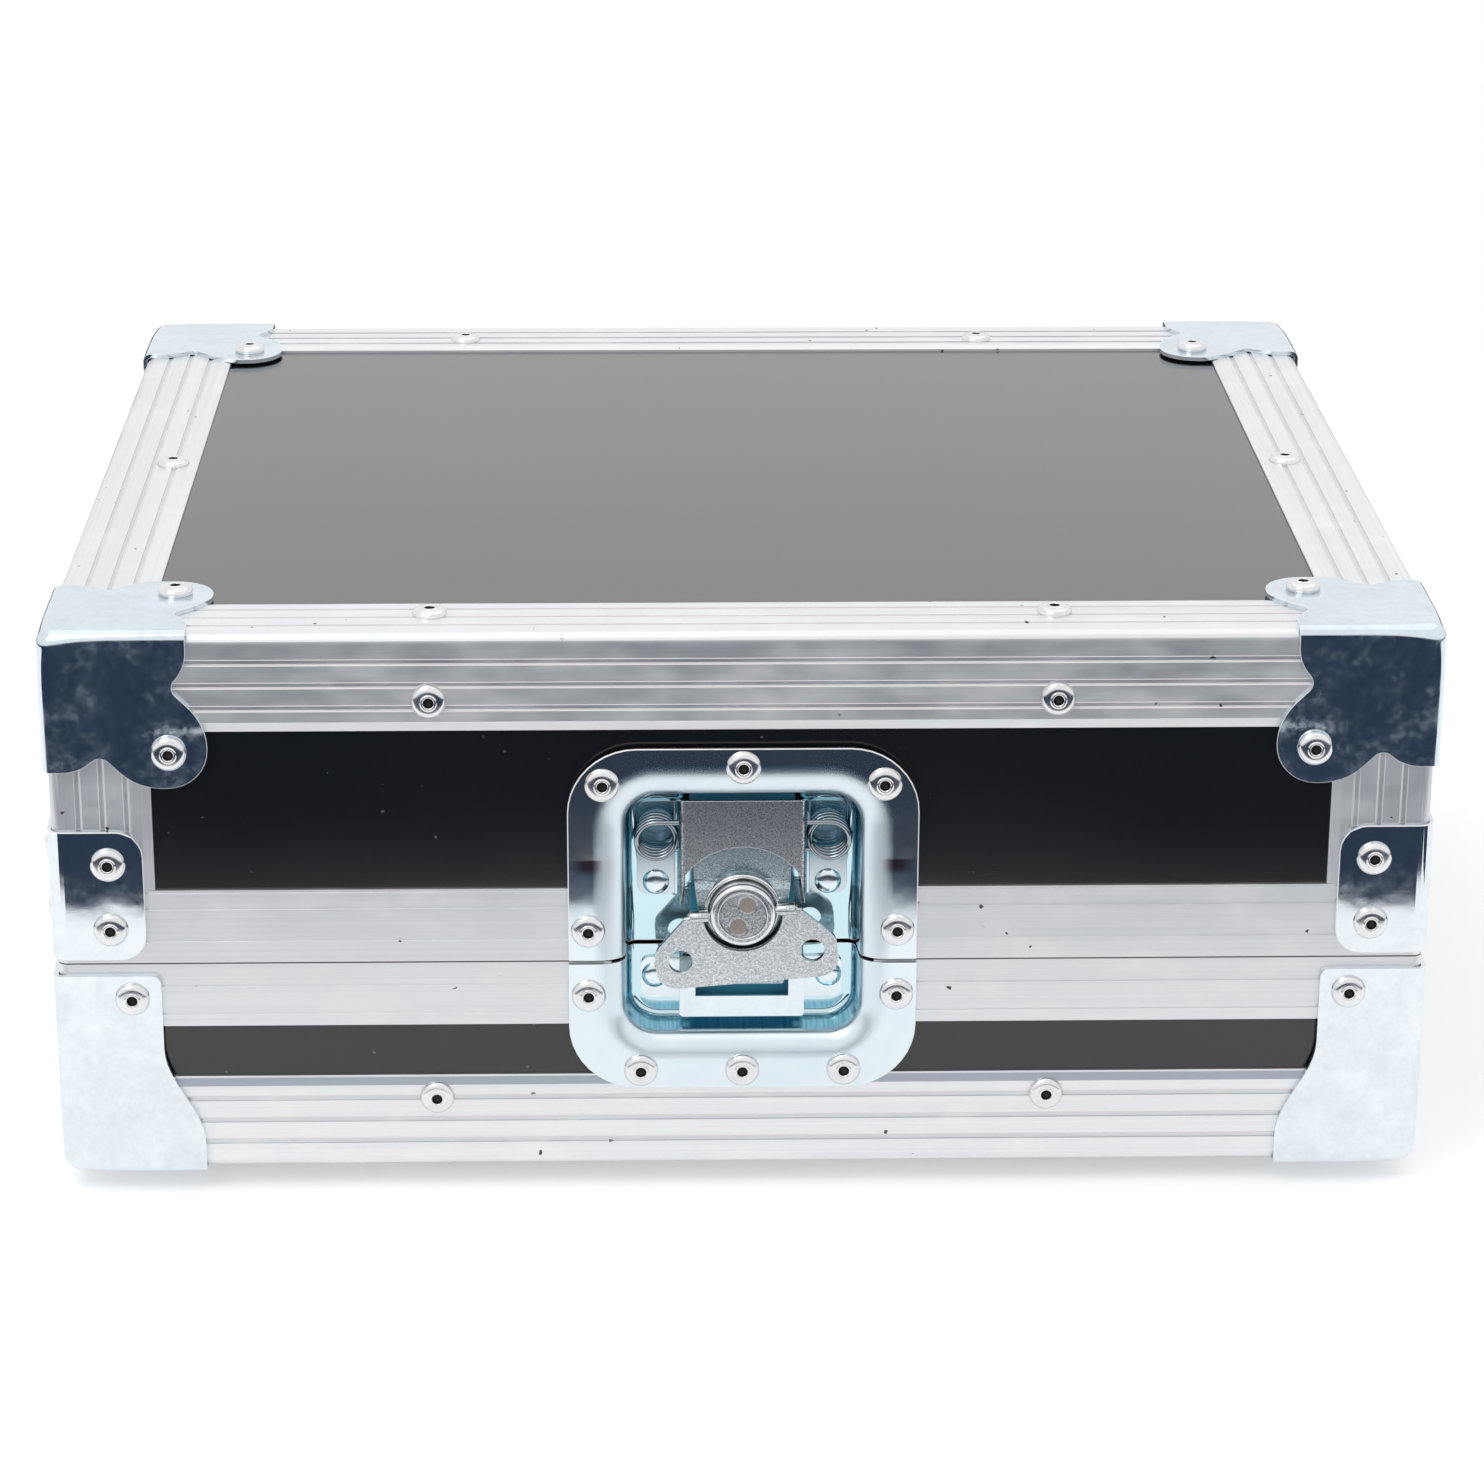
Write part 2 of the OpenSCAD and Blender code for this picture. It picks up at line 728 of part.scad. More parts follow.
// Heads on the legs of the front extrusion, left half, at height z on its front
module leg_rivets(z) {
    front_rivet(-leg_rivet_x, 0, z);
    under_rivet(-leg_rivet_x, flat_rivet_in, 0);
}
module side_leg_rivets() {
    side_rivet(-case_w / 2, case_d / 2, side_rivet_in);
    under_rivet(-case_w / 2 + side_rivet_in, case_d / 2, 0);
}

module brace_rivets() {
    for (share = brace_rivet_shares) {
        z = seam + brace_gap + share * brace_h;
        front_rivet(-case_w / 2 - plate_t + brace_rivet_in, -plate_t, z);
        side_rivet(-case_w / 2 - plate_t, -plate_t + brace_rivet_in, z);
    }
}

module base_corner_rivets() {
    z = base_h - base_corner_gap - base_rivet_drop;
    lobe = lobe_share * corner_reach - plate_t;
    front_rivet(-case_w / 2 - plate_t + base_rivet_a, -plate_t, z);
    side_rivet(-case_w / 2 - plate_t, -plate_t + base_rivet_a, z);
    under_rivet(-case_w / 2 + lobe, lobe, -plate_t);
}

// Heads on the dish flange from shares of its half width and height
module dish_rivets(shares, h) {
    for (share = shares) {
        x = share[0] * dish_w / 2;
        front_rivet(x, -dish_t, seam + share[1] * h);
        if (x > 0) front_rivet(-x, -dish_t, seam + share[1] * h);
    }
}

// Small heads on a hinge leaf; up is 1 for the lid and -1 for the base
module leaf_rivets(up)
    from_back() both_sides()
        for (side = [-1, 1])
            translate([hinge_x + side * hinge_rivet_share * hinge_w, -leaf_t,
                       seam + up * hinge_rivet_up])
                rotate([90, 0, 0]) rivet_head(small_rivet_r, small_rivet_h);

bright = "#dfe3e6";
module base_rivets() color(bright) placed() {
    front_and_back() both_sides() {
        base_corner_rivets();
        leg_rivets(base_leg_rivet_z);
    }
    both_sides() side_leg_rivets();
    dish_rivets(dish_base_rivet_shares, -dish_down);
    leaf_rivets(-1);
}
module lid_rivets() color(bright) placed() {
    from_top() {
        front_and_back() both_sides() {
            lobe_rivets();
            leg_rivets(leg_rivet_in);
        }
        both_sides() side_leg_rivets();
    }
    front_and_back() both_sides() brace_rivets();
    dish_rivets(dish_lid_rivet_shares, dish_up);
    leaf_rivets(1);
}

// Latch dish, one pressed shell that the seam cuts in two; each half is drawn up from the seam

// Outline of a half with round upper corners, in x and z
module half_outline(half, top, r) {
    translate([-half, 0]) square([2 * half, top - r]);
    translate([r - half, 0]) square([2 * (half - r), top]);
    for (side = [-1, 1]) translate([side * (half - r), top - r]) intersection() {
        circle(r);
        translate([-r, 0]) square([2 * r, r]);
    }
}

// Quarter of a bent sheet from its outer radius inwards, open towards +x and +y
module bend_section(r) intersection() {
    difference() {
        circle(r);
        circle(r - dish_t);
    }
    square(r);
}

// Section of the recess: x outwards from the axis of a mouth corner, y inwards
module recess_section() {
    translate([mouth_r, lip_r - dish_t]) rotate(180) bend_section(lip_r);
    translate([recess_r, lip_r - dish_t]) square([dish_t, dish_depth - sink_r - lip_r + dish_t]);
    translate([recess_r - sink_r, dish_depth - sink_r]) bend_section(sink_r + dish_t);
}

// Half of the dish, from the heights of its flange, mouth and floor off the seam
module dish_half(flange, mouth, floor) {
    axis_x = mouth_w / 2 - mouth_r;
    axis_z = mouth - mouth_r;
    facing(-dish_t, dish_t) difference() {
        half_outline(dish_w / 2, flange, dish_r);
        half_outline(mouth_w / 2, mouth, mouth_r);
    }
    both_sides() translate([axis_x, 0, 0]) {
        linear_extrude(axis_z) recess_section();
        translate([0, 0, axis_z]) rotate([-90, 0, 0]) rotate([0, 0, -90])
            rotate_extrude(angle = 90) recess_section();
    }
    translate([-axis_x, 0, axis_z]) along_x(2 * axis_x) mirror([1, -1]) recess_section();
    facing(dish_depth, dish_t)
        half_outline(floor_half, floor, recess_r - sink_r);
}

module lid_dish() color(zinc) placed()
    translate([0, 0, seam]) dish_half(dish_up, mouth_up, floor_up);
module base_dish() color(zinc) placed()
    translate([0, 0, seam]) mirror([0, 0, 1]) dish_half(dish_down, mouth_down, floor_down);

// Latch

speckled = "#9aa0a0";
spindle_z = seam + spindle_up;
pivot_z = seam + pivot_up;

module bracket_ear() {
    y1 = dish_depth - bracket_t / 2;
    z0 = seam + bridge_low;
    translate([-bridge_w / 2, 0, 0]) difference() {
        along_x(bracket_t)
            polygon([[bridge_y, z0], [y1, z0], [y1, seam + flange_up],
                     [bridge_y + 2 * bracket_t, seam + bridge_up], [bridge_y, seam + bridge_up]]);
        translate([-over, pivot_y, pivot_z]) rotate([0, 90, 0])
            cylinder(h = bracket_t + 2 * over, r = pivot_r + pin_gap);
    }
}

module latch_bracket() color(speckled) placed() {
    facing(bridge_y, bracket_t) difference() {
        polygon(block([-bridge_w / 2, seam + bridge_low], [bridge_w / 2, seam + bridge_up], 0));
        translate([0, spindle_z]) circle(bridge_arc_r);
    }
    both_sides() {
        bracket_ear();
        facing(dish_depth - bracket_t, bracket_t)
            polygon(rounded([[-flange_half, seam + flange_low, flange_r],
                             [-bridge_w / 2 + bracket_t, seam + flange_low, 0],
                             [-bridge_w / 2 + bracket_t, seam + flange_up, 0],
                             [-flange_half, seam + flange_up, flange_r]]));
    }
}

module small_front_rivet(x, y, z)
    translate([x, y, z]) rotate([90, 0, 0]) rivet_head(small_rivet_r, small_rivet_h);
module bracket_rivets() color(bright) placed() both_sides()
    small_front_rivet(bracket_rivet_x, dish_depth - bracket_t, seam + bracket_rivet_up);
module keeper_rivets() color(bright) placed() both_sides()
    small_front_rivet(keeper_rivet_x, dish_depth - keeper_t, seam - keeper_rivet_down);

module keeper() color(zinc) placed() {
    difference() {
        facing(keeper_y, dish_depth - keeper_y)
            polygon(block([-keeper_w / 2, seam - keeper_bottom], [keeper_w / 2, seam - keeper_top],
                          keeper_t));
        facing(keeper_y + keeper_t, dish_depth)
            polygon(block([-keeper_w / 2 + keeper_t, seam - keeper_bottom + keeper_t],
                          [keeper_w / 2 - keeper_t, seam - keeper_top - keeper_t], 0));
        facing(keeper_y - over, 2 * over + keeper_t)
            polygon(block([-slot_w / 2, seam - slot_bottom], [slot_w / 2, seam - slot_top], 0));
    }
    both_sides()
        facing(dish_depth - keeper_t, keeper_t)
            polygon(rounded([[-keeper_flange_half, seam - keeper_flange_low, flange_r],
                             [-keeper_w / 2 + keeper_t, seam - keeper_flange_low, 0],
                             [-keeper_w / 2 + keeper_t, seam - keeper_flange_top, 0],
                             [-keeper_flange_half, seam - keeper_flange_top, flange_r]]));
}

module latch_pin() color(bright) placed()
    translate([-bridge_w / 2, pivot_y, pivot_z]) rotate([0, 90, 0])
        cylinder(h = bridge_w, r = pivot_r);

// Ear of the hook, slotted so that the hook slides on the pivot pin
module hook_ear() {
    z1 = pivot_z + hook_travel;
    translate([-hook_w / 2 + ear_in, 0, 0]) along_x(hook_t) difference() {
        union() {
            translate([pivot_y, z1]) circle(ear_r);
            translate([pivot_y - ear_r, seam + hook_top - ear_r])
                square([2 * ear_r, z1 - seam - hook_top + ear_r]);
        }
        for (z = [pivot_z, z1]) translate([pivot_y, z]) circle(pivot_r + pin_gap);
        translate([pivot_y - pivot_r - pin_gap, pivot_z]) square([2 * (pivot_r + pin_gap), hook_travel]);
    }
}

module hook_plate() color(speckled) placed() {
    top = seam + hook_top;
    low = seam + hook_low;
    bend = seam + hook_joggle;
    slope = hook_back_y - hook_front_y;
    tab_y = hook_front_y + hook_t + hook_tab_d;
    difference() {
        union() {
            intersection() {
                translate([-hook_w / 2, 0, 0]) along_x(hook_w)
                    polygon([[hook_back_y, top], [hook_back_y, bend + slope], [hook_front_y, bend],
                             [hook_front_y, low], [tab_y, low], [tab_y, low + hook_tab_h],
                             [hook_front_y + hook_t, low + hook_tab_h],
                             [hook_front_y + hook_t, bend - hook_t / 2],
                             [hook_back_y + hook_t, bend + slope - hook_t / 2],
                             [hook_back_y + hook_t, top]]);
                facing(0, dish_depth)
                    polygon(rounded([[-hook_w / 2, top, 0], [-hook_w / 2, bend + slope, 0],
                                     [-hook_tab_w / 2, bend - boss_r, hook_t],
                                     [-hook_tab_w / 2, low, hook_t / 2],
                                     [hook_tab_w / 2, low, hook_t / 2],
                                     [hook_tab_w / 2, bend - boss_r, hook_t],
                                     [hook_w / 2, bend + slope, 0], [hook_w / 2, top, 0]]));
            }
            both_sides() hook_ear();
            facing(boss_y, boss_l) translate([0, spindle_z]) circle(boss_r);
        }
        facing(boss_y - over, boss_l + 2 * over) translate([0, spindle_z]) circle(neck_r + pin_gap);
    }
}

// Round solid on the spindle axis from depth y0 to y1
module on_spindle(y0, y1, r) facing(y0, y1 - y0) translate([0, spindle_z]) circle(r);

// Frame of the wing: origin where its pin crosses the spindle axis, x along the pin
module wing_frame() translate([0, wing_y, spindle_z]) rotate([0, -wing_tilt, 0]) children();
module on_wing_pin(l, r) rotate([0, 90, 0]) cylinder(h = l, r = r, center = true);

module spindle() color(bright) placed() difference() {
    union() {
        on_spindle(spindle_y, boss_y - spindle_gap, spindle_r);
        on_spindle(spindle_y + over, boss_y + boss_l + spindle_gap + collar_t, neck_r);
        on_spindle(boss_y + boss_l + spindle_gap, boss_y + boss_l + spindle_gap + collar_t, collar_r);
    }
    on_spindle(spindle_y - over, spindle_y + cap_in + cap_t, cap_r + cap_gap);
    wing_frame() on_wing_pin(4 * spindle_r, wing_pin_r + pin_gap);
}

module spindle_cap() color(zinc) placed() difference() {
    on_spindle(spindle_y + cap_in, spindle_y + cap_in + cap_t, cap_r);
    for (side = [-1, 1])
        translate([0, spindle_y + cap_in, spindle_z]) rotate([0, dimple_turn, 0])
            translate([0, 0, side * dimple_share * cap_r]) rotate([90, 0, 0])
                cylinder(h = 2 * dimple_d, r = dimple_r, center = true);
}

module wing() color(speckled) placed() wing_frame() {
    size = [wing_w / 2, wing_h];
    pin_half = pivot_half_share * wing_w / 2;
    bore = spindle_r + barrel_gap;
    difference() {
        union() {
            facing(-wing_t / 2, wing_t) difference() {
                polygon(rounded([for (p = wing_shares) [p[0] * size[0], p[1] * size[1], p[2] * size[0]]]));
                circle(spindle_r + wing_arc_gap);
                for (side = [-1, 1])
                    translate([side * padlock_shares[0] * size[0], padlock_shares[1] * size[1]])
                        circle(padlock_r);
            }
            both_sides() translate([(bore + pin_half) / 2, 0, 0]) on_wing_pin(pin_half - bore, barrel_r);
        }
        on_wing_pin(wing_w, wing_pin_r + pin_gap);
    }
}

module wing_pin() color(bright) placed() wing_frame()
    on_wing_pin(pivot_half_share * wing_w, wing_pin_r);

// Springs: one tube through a leg, the coils and a second leg

coil_turn = 180 * coil_half_turns;
coil_steps = coil_rings * coil_half_turns / 2;
function coil_point(share) =
    [coil_x + coil_r * cos(90 - coil_turn * share), coil_y + coil_l * share,
     seam + coil_up + coil_r * sin(90 - coil_turn * share)];
leg_end = bridge_w / 2 + seat_gap;
spring_path = concat(
    [[leg_end, coil_y, seam + coil_up + coil_r], [leg_end + 2 * wire_r, coil_y, seam + coil_up + coil_r]],
    [for (k = [0 : coil_steps]) coil_point(k / coil_steps)],
    [[leg_end + 2 * wire_r, coil_y + coil_l, seam + coil_up - coil_r],
     [leg_end, coil_y + coil_l, seam + coil_up - coil_r]]
);
function tube_ring(path, i, r, n) =
    let (
        last = len(path) - 1,
        t = unit(path[min(i + 1, last)] - path[max(i - 1, 0)]),
        side = unit(cross(t, [0, 1, 0])),
        up = cross(side, t)
    )
    [for (k = [0 : n - 1]) path[i] + r * (cos(360 * k / n) * side + sin(360 * k / n) * up)];
spring_gap = min([
    for (i = [0 : len(spring_path) - 1]) for (j = [i + coil_rings - 1 : 1 : len(spring_path) - 1])
        norm(spring_path[i] - spring_path[j])
]) - 2 * wire_r;
echo(least_gap_between_turns = spring_gap);

module spring()
    loft([for (i = [0 : len(spring_path) - 1]) tube_ring(spring_path, i, wire_r, wire_sides)]);
module spring_right() color(bright) placed() spring();
module spring_left() color(bright) placed() mirror([1, 0, 0]) spring();

// Hinges, drawn at the back face as seen from the front before from_back() turns them

knuckle_l = knuckle_share * hinge_w;
// Rolled knuckle on the hinge axis, from x0 along the pin
module knuckle(x0, l)
    translate([x0, -hinge_off, seam]) rotate([0, 90, 0]) cylinder(h = l, r = knuckle_r);
module pin_bore()
    translate([-over - hinge_w / 2, -hinge_off, seam]) rotate([0, 90, 0])
        cylinder(h = hinge_w + 2 * over, r = hinge_pin_r + pin_gap);

// The base leaf has the middle knuckle
module base_leaf() {
    clear = knuckle_r + knuckle_clear;
    difference() {
        union() {
            translate([-hinge_w / 2, -leaf_t, seam - leaf_h])
                cube([hinge_w, leaf_t, leaf_h - clear]);
            translate([-knuckle_l / 2, -leaf_t, seam - leaf_h])
                cube([knuckle_l, leaf_t, leaf_h - leaf_gap]);
            knuckle(-knuckle_l / 2, knuckle_l);
        }
        pin_bore();
    }
}

// The lid leaf has the two outer knuckles
module lid_leaf() {
    clear = knuckle_r + knuckle_clear;
    outer_l = (hinge_w - knuckle_l) / 2 - knuckle_play;
    difference() {
        union() {
            translate([-hinge_w / 2, -leaf_t, seam + clear])
                cube([hinge_w, leaf_t, leaf_h - clear]);
            both_sides() {
                translate([-hinge_w / 2, -leaf_t, seam + leaf_gap])
                    cube([outer_l, leaf_t, leaf_h - leaf_gap]);
                knuckle(-hinge_w / 2, outer_l);
            }
        }
        pin_bore();
    }
}

module at_hinge(side) from_back() translate([side * hinge_x, 0, 0]) children();
module hinge_base_leaf_left() color(zinc) placed() at_hinge(-1) base_leaf();
module hinge_base_leaf_right() color(zinc) placed() at_hinge(1) base_leaf();
module hinge_lid_leaf_left() color(zinc) placed() at_hinge(-1) lid_leaf();
module hinge_lid_leaf_right() color(zinc) placed() at_hinge(1) lid_leaf();
module hinge_pins() color(bright) placed()
    for (side = [-1, 1]) at_hinge(side)
        translate([-hinge_w / 2, -hinge_off, seam]) rotate([0, 90, 0])
            cylinder(h = hinge_w, r = hinge_pin_r);

// Feet

module at_feet()
    front_and_back() both_sides() translate([-case_w / 2 + foot_in, foot_in, 0]) children();

module rubber_feet() color("#1b1c1d") placed() at_feet() difference() {
    translate([0, 0, -foot_h]) cylinder(h = foot_h + leg_t, r1 = foot_end_r, r2 = foot_r);
    translate([0, 0, -foot_h - over]) cylinder(h = sink_h + over, r = screw_head_r + sink_play);
    translate([0, 0, -foot_h]) cylinder(h = foot_h + leg_t + over, r = screw_r + screw_play);
}

module foot_screws() color(bright) placed() at_feet() {
    head_z = -foot_h + sink_h - screw_head_h;
    translate([0, 0, head_z]) cylinder(h = screw_head_h, r = screw_head_r);
    translate([0, 0, head_z])
        cylinder(h = leg_t + panel_t - screw_end_gap - head_z, r = screw_r);
}

// Foam lining

foam_in = foam_back + foam_t + foam_gap;

// Block of foam inside the walls, inset on all four sides
module inner_block(in, z0, z1)
    translate([-case_w / 2 + in, in, z0])
        cube([case_w - 2 * in, case_d - 2 * in, z1 - z0]);

module wall_foam(z0, z1) {
    difference() {
        inner_block(foam_back, z0, z1);
        inner_block(foam_back + foam_t, z0 - over, z1 + over);
        translate([-relief_w / 2, 0, seam - dish_cut_down - relief_gap])
            cube([relief_w, dish_depth + dish_t + relief_gap,
                  dish_cut_down + dish_cut_up + 2 * relief_gap]);
    }
}

foam = "#3a3b3d";
module base_foam_floor() color(foam) placed() inner_block(foam_in, slot_in, slot_in + floor_foam_t);
module base_foam_walls() color(foam) placed() wall_foam(foam_back, seam - wall_foam_low);
module lid_foam_top() color(foam) placed()
    inner_block(foam_in, case_h - slot_in - lid_foam_t, case_h - slot_in);
module lid_foam_walls() color(foam) placed() wall_foam(seam + lid_foam_low, case_h - foam_back);

base_floor_panel();
base_front_panel();
base_back_panel();
base_side_panels();
base_edge_front();
base_edge_back();
base_edge_sides();
base_posts();
base_rim_front();
base_rim_back();
base_rim_sides();
base_corner_front_left();
base_corner_front_right();
base_corner_back_left();
base_corner_back_right();
base_rivets();
base_dish();
keeper();
keeper_rivets();
rubber_feet();
foot_screws();
base_foam_floor();
base_foam_walls();
hinge_base_leaf_left();
hinge_base_leaf_right();
hinge_pins();
lid_top_panel();
lid_front_panel();
lid_back_panel();
lid_side_panels();
lid_edge_front();
lid_edge_back();
lid_edge_sides();
lid_posts();
lid_rim_front();
lid_rim_back();
lid_rim_sides();
lid_corner_front_left();
lid_corner_front_right();
lid_corner_back_left();
lid_corner_back_right();
lid_braces();
lid_rivets();
lid_dish();
latch_bracket();
bracket_rivets();
hinge_lid_leaf_left();
hinge_lid_leaf_right();
lid_foam_top();
lid_foam_walls();
latch_pin();
hook_plate();
spindle();
spindle_cap();
wing();
wing_pin();
spring_left();
spring_right();
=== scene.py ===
"""Looks of the mixer flight case: finishes for every piece of the frame, finely pressed latch dish,
bracket and corner plates, turned rivet heads and spindle, coil springs, foam, a white table and soft
studio light."""

import json
import math

import bmesh
import bpy
from mathutils import Matrix, Vector, noise


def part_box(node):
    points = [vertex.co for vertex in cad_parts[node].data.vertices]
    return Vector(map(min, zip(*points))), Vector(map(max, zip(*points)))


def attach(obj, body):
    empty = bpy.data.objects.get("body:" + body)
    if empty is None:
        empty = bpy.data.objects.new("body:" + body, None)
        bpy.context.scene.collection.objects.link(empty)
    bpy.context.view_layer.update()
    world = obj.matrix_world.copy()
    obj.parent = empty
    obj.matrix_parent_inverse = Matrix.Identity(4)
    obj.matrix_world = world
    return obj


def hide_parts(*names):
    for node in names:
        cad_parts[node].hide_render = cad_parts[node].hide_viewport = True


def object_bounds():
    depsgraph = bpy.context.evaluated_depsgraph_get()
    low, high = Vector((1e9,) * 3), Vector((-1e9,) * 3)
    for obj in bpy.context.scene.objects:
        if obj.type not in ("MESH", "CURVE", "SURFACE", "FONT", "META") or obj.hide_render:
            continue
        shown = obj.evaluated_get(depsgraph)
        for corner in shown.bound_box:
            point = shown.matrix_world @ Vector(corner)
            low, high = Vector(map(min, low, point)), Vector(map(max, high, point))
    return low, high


MM = 0.001
# Points closer than this are one place
TOUCH = 0.01 * MM

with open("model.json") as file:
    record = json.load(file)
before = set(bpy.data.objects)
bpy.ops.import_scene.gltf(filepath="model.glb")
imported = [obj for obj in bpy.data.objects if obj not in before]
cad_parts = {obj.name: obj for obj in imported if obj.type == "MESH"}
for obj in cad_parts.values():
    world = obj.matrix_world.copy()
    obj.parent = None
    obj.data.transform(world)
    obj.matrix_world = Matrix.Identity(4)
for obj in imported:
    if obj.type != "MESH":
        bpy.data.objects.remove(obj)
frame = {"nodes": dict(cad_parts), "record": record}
cad_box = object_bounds()
nodes = frame["nodes"]
scene = bpy.context.scene
record = frame["record"]
body_of = {node: body for body, names in record["behaviour"]["bodies"].items() for node in names}


# Camera

PHOTO_SIZE = 1484
FOCAL_PIXELS = 4305
SENSOR = 36
CAMERA_PLACE = (-0.0321, -1.3540, 0.5882)
CAMERA_PITCH = math.radians(20.569)
CAMERA_YAW = math.radians(1.533)
CAMERA_ROLL = math.radians(0.257)


def add_camera():
    """The camera of the photograph, looking down at the front of the case."""
    data = bpy.data.cameras.new("camera")
    data.sensor_width = SENSOR
    data.lens = FOCAL_PIXELS / PHOTO_SIZE * SENSOR
    forward = Vector((math.sin(CAMERA_YAW) * math.cos(CAMERA_PITCH),
                      math.cos(CAMERA_YAW) * math.cos(CAMERA_PITCH), -math.sin(CAMERA_PITCH)))
    level = Vector((math.cos(CAMERA_YAW), -math.sin(CAMERA_YAW), 0))
    upright = level.cross(forward)
    right = math.cos(CAMERA_ROLL) * level + math.sin(CAMERA_ROLL) * upright
    up = math.cos(CAMERA_ROLL) * upright - math.sin(CAMERA_ROLL) * level
    camera = bpy.data.objects.new("camera", data)
    camera.matrix_world = Matrix.Translation(CAMERA_PLACE) @ Matrix(
        (right, up, -forward)).transposed().to_4x4()
    scene.collection.objects.link(camera)
    scene.camera = camera


# Node trees

class Shader:
    """A material's node tree, with one short call for each kind of node."""

    def __init__(self, name):
        self.material = bpy.data.materials.new(name)
        self.material.use_nodes = True
        self.tree = self.material.node_tree
        self.surface = self.tree.nodes["Principled BSDF"]
        self.place = self.tree.nodes.new("ShaderNodeTexCoord").outputs["Object"]

    def add(self, kind, **sockets):
        node = self.tree.nodes.new(kind)
        for name, value in sockets.items():
            self.put(node.inputs[name.replace("_", " ")], value)
        return node

    def put(self, socket, value):
        if isinstance(value, bpy.types.NodeSocket):
            self.tree.links.new(value, socket)
        else:
            socket.default_value = value

    def set(self, **sockets):
        for name, value in sockets.items():
            self.put(self.surface.inputs[name.replace("_", " ")], value)

    def scaled(self, scale):
        """Object coordinates times a scale for each axis."""
        node = self.add("ShaderNodeVectorMath")
        node.operation = "MULTIPLY"
        self.put(node.inputs[0], self.place)
        self.put(node.inputs[1], scale)
        return node.outputs[0]

    def axis(self, axis):
        """One object coordinate."""
        return self.add("ShaderNodeSeparateXYZ", Vector=self.place).outputs[axis]

    def noise(self, scale, detail=3, roughness=0.5, stretch=(1, 1, 1)):
        node = self.add("ShaderNodeTexNoise", Vector=self.scaled(stretch), Scale=scale,
                        Detail=detail, Roughness=roughness)
        return node.outputs["Fac"]

    def grains(self, scale):
        """Random value for each cell of a cell pattern."""
        node = self.add("ShaderNodeTexVoronoi", Vector=self.place, Scale=scale)
        parts = self.add("ShaderNodeSeparateColor", Color=node.outputs["Color"])
        return parts.outputs[0]

    def remap(self, value, low, high, to_low=0.0, to_high=1.0):
        node = self.add("ShaderNodeMapRange", Value=value, From_Min=low, From_Max=high,
                        To_Min=to_low, To_Max=to_high)
        return node.outputs[0]

    def math(self, operation, a, b):
        node = self.add("ShaderNodeMath")
        node.operation = operation
        self.put(node.inputs[0], a)
        self.put(node.inputs[1], b)
        return node.outputs[0]

    def absolute(self, value):
        return self.math("ABSOLUTE", value, 0.0)

    def off(self, value, goal):
        """Distance of the value from the goal."""
        return self.absolute(self.math("SUBTRACT", value, goal))

    def near(self, value, goal, reach):
        """1 where the value is within reach of the goal, otherwise 0."""
        node = self.add("ShaderNodeMath")
        node.operation = "COMPARE"
        for socket, number in zip(node.inputs, (value, goal, reach)):
            self.put(socket, number)
        return node.outputs[0]

    def mixed(self, factor, a, b):
        """Number between a and b."""
        node = self.add("ShaderNodeMix", Factor=factor)
        self.put(node.inputs[2], a)
        self.put(node.inputs[3], b)
        return node.outputs[0]

    def blend(self, factor, a, b):
        """Colour between a and b."""
        node = self.add("ShaderNodeMix")
        node.data_type = "RGBA"
        self.put(node.inputs[0], factor)
        self.put(node.inputs[6], a)
        self.put(node.inputs[7], b)
        return node.outputs[2]

    def bump(self, height, distance, strength=1.0, normal=None):
        node = self.add("ShaderNodeBump", Height=height, Distance=distance, Strength=strength)
        if normal:
            self.put(node.inputs["Normal"], normal)
        return node.outputs["Normal"]


def rgb(r, g, b):
    return (r, g, b, 1)


# Materials

def laminate():
    """Black laminated birch: satin, with a fine woven print, faint clouds and specks of dust."""
    s = Shader("laminate")
    weave = s.math("ADD", s.noise(1, detail=2, stretch=(300, 4000, 4000)),
                   s.noise(1, detail=2, stretch=(4000, 300, 4000)))
    clouds = s.noise(14, detail=5)
    specks = s.remap(s.grains(1300), 0.9994, 0.9998)
    black = s.blend(clouds, rgb(0.004, 0.0045, 0.0055), rgb(0.007, 0.0075, 0.0085))
    s.set(Base_Color=s.blend(specks, black, rgb(0.09, 0.09, 0.085)),
          Roughness=s.remap(clouds, 0.3, 0.7, 0.15, 0.2),
          IOR=1.5, Coat_Weight=0.48, Coat_Roughness=0.08, Coat_IOR=1.5,
          Normal=s.bump(weave, 0.00002, 0.4))
    return s.material


def edge_distance(s, axis):
    """Distance from the outer edge of the case, over an extrusion that runs along an axis."""
    distance = 0.0
    for other in {0, 1, 2} - {axis}:
        off_middle = s.off(s.axis(other), CASE_MIDDLE[other])
        distance = s.math("ADD", distance, s.math("SUBTRACT", CASE_HALF[other], off_middle))
    return distance


def groove_marks(s, edge, half):
    """1 within half of the middle of a groove."""
    marks = 0.0
    for share in GROOVE_SHARES:
        marks = s.math("ADD", marks, s.near(edge, share * LEG, half))
    return marks


def drawn_streaks(s, axis):
    """Fine and coarse streaks along an axis."""
    fine, coarse = (tuple(3 if i == axis else across for i in range(3)) for across in (1600, 1600 / 6))
    return s.math("ADD", s.math("MULTIPLY", s.noise(1, detail=3, roughness=0.6, stretch=fine), 0.6),
                  s.math("MULTIPLY", s.noise(1, detail=2, stretch=coarse), 0.4))


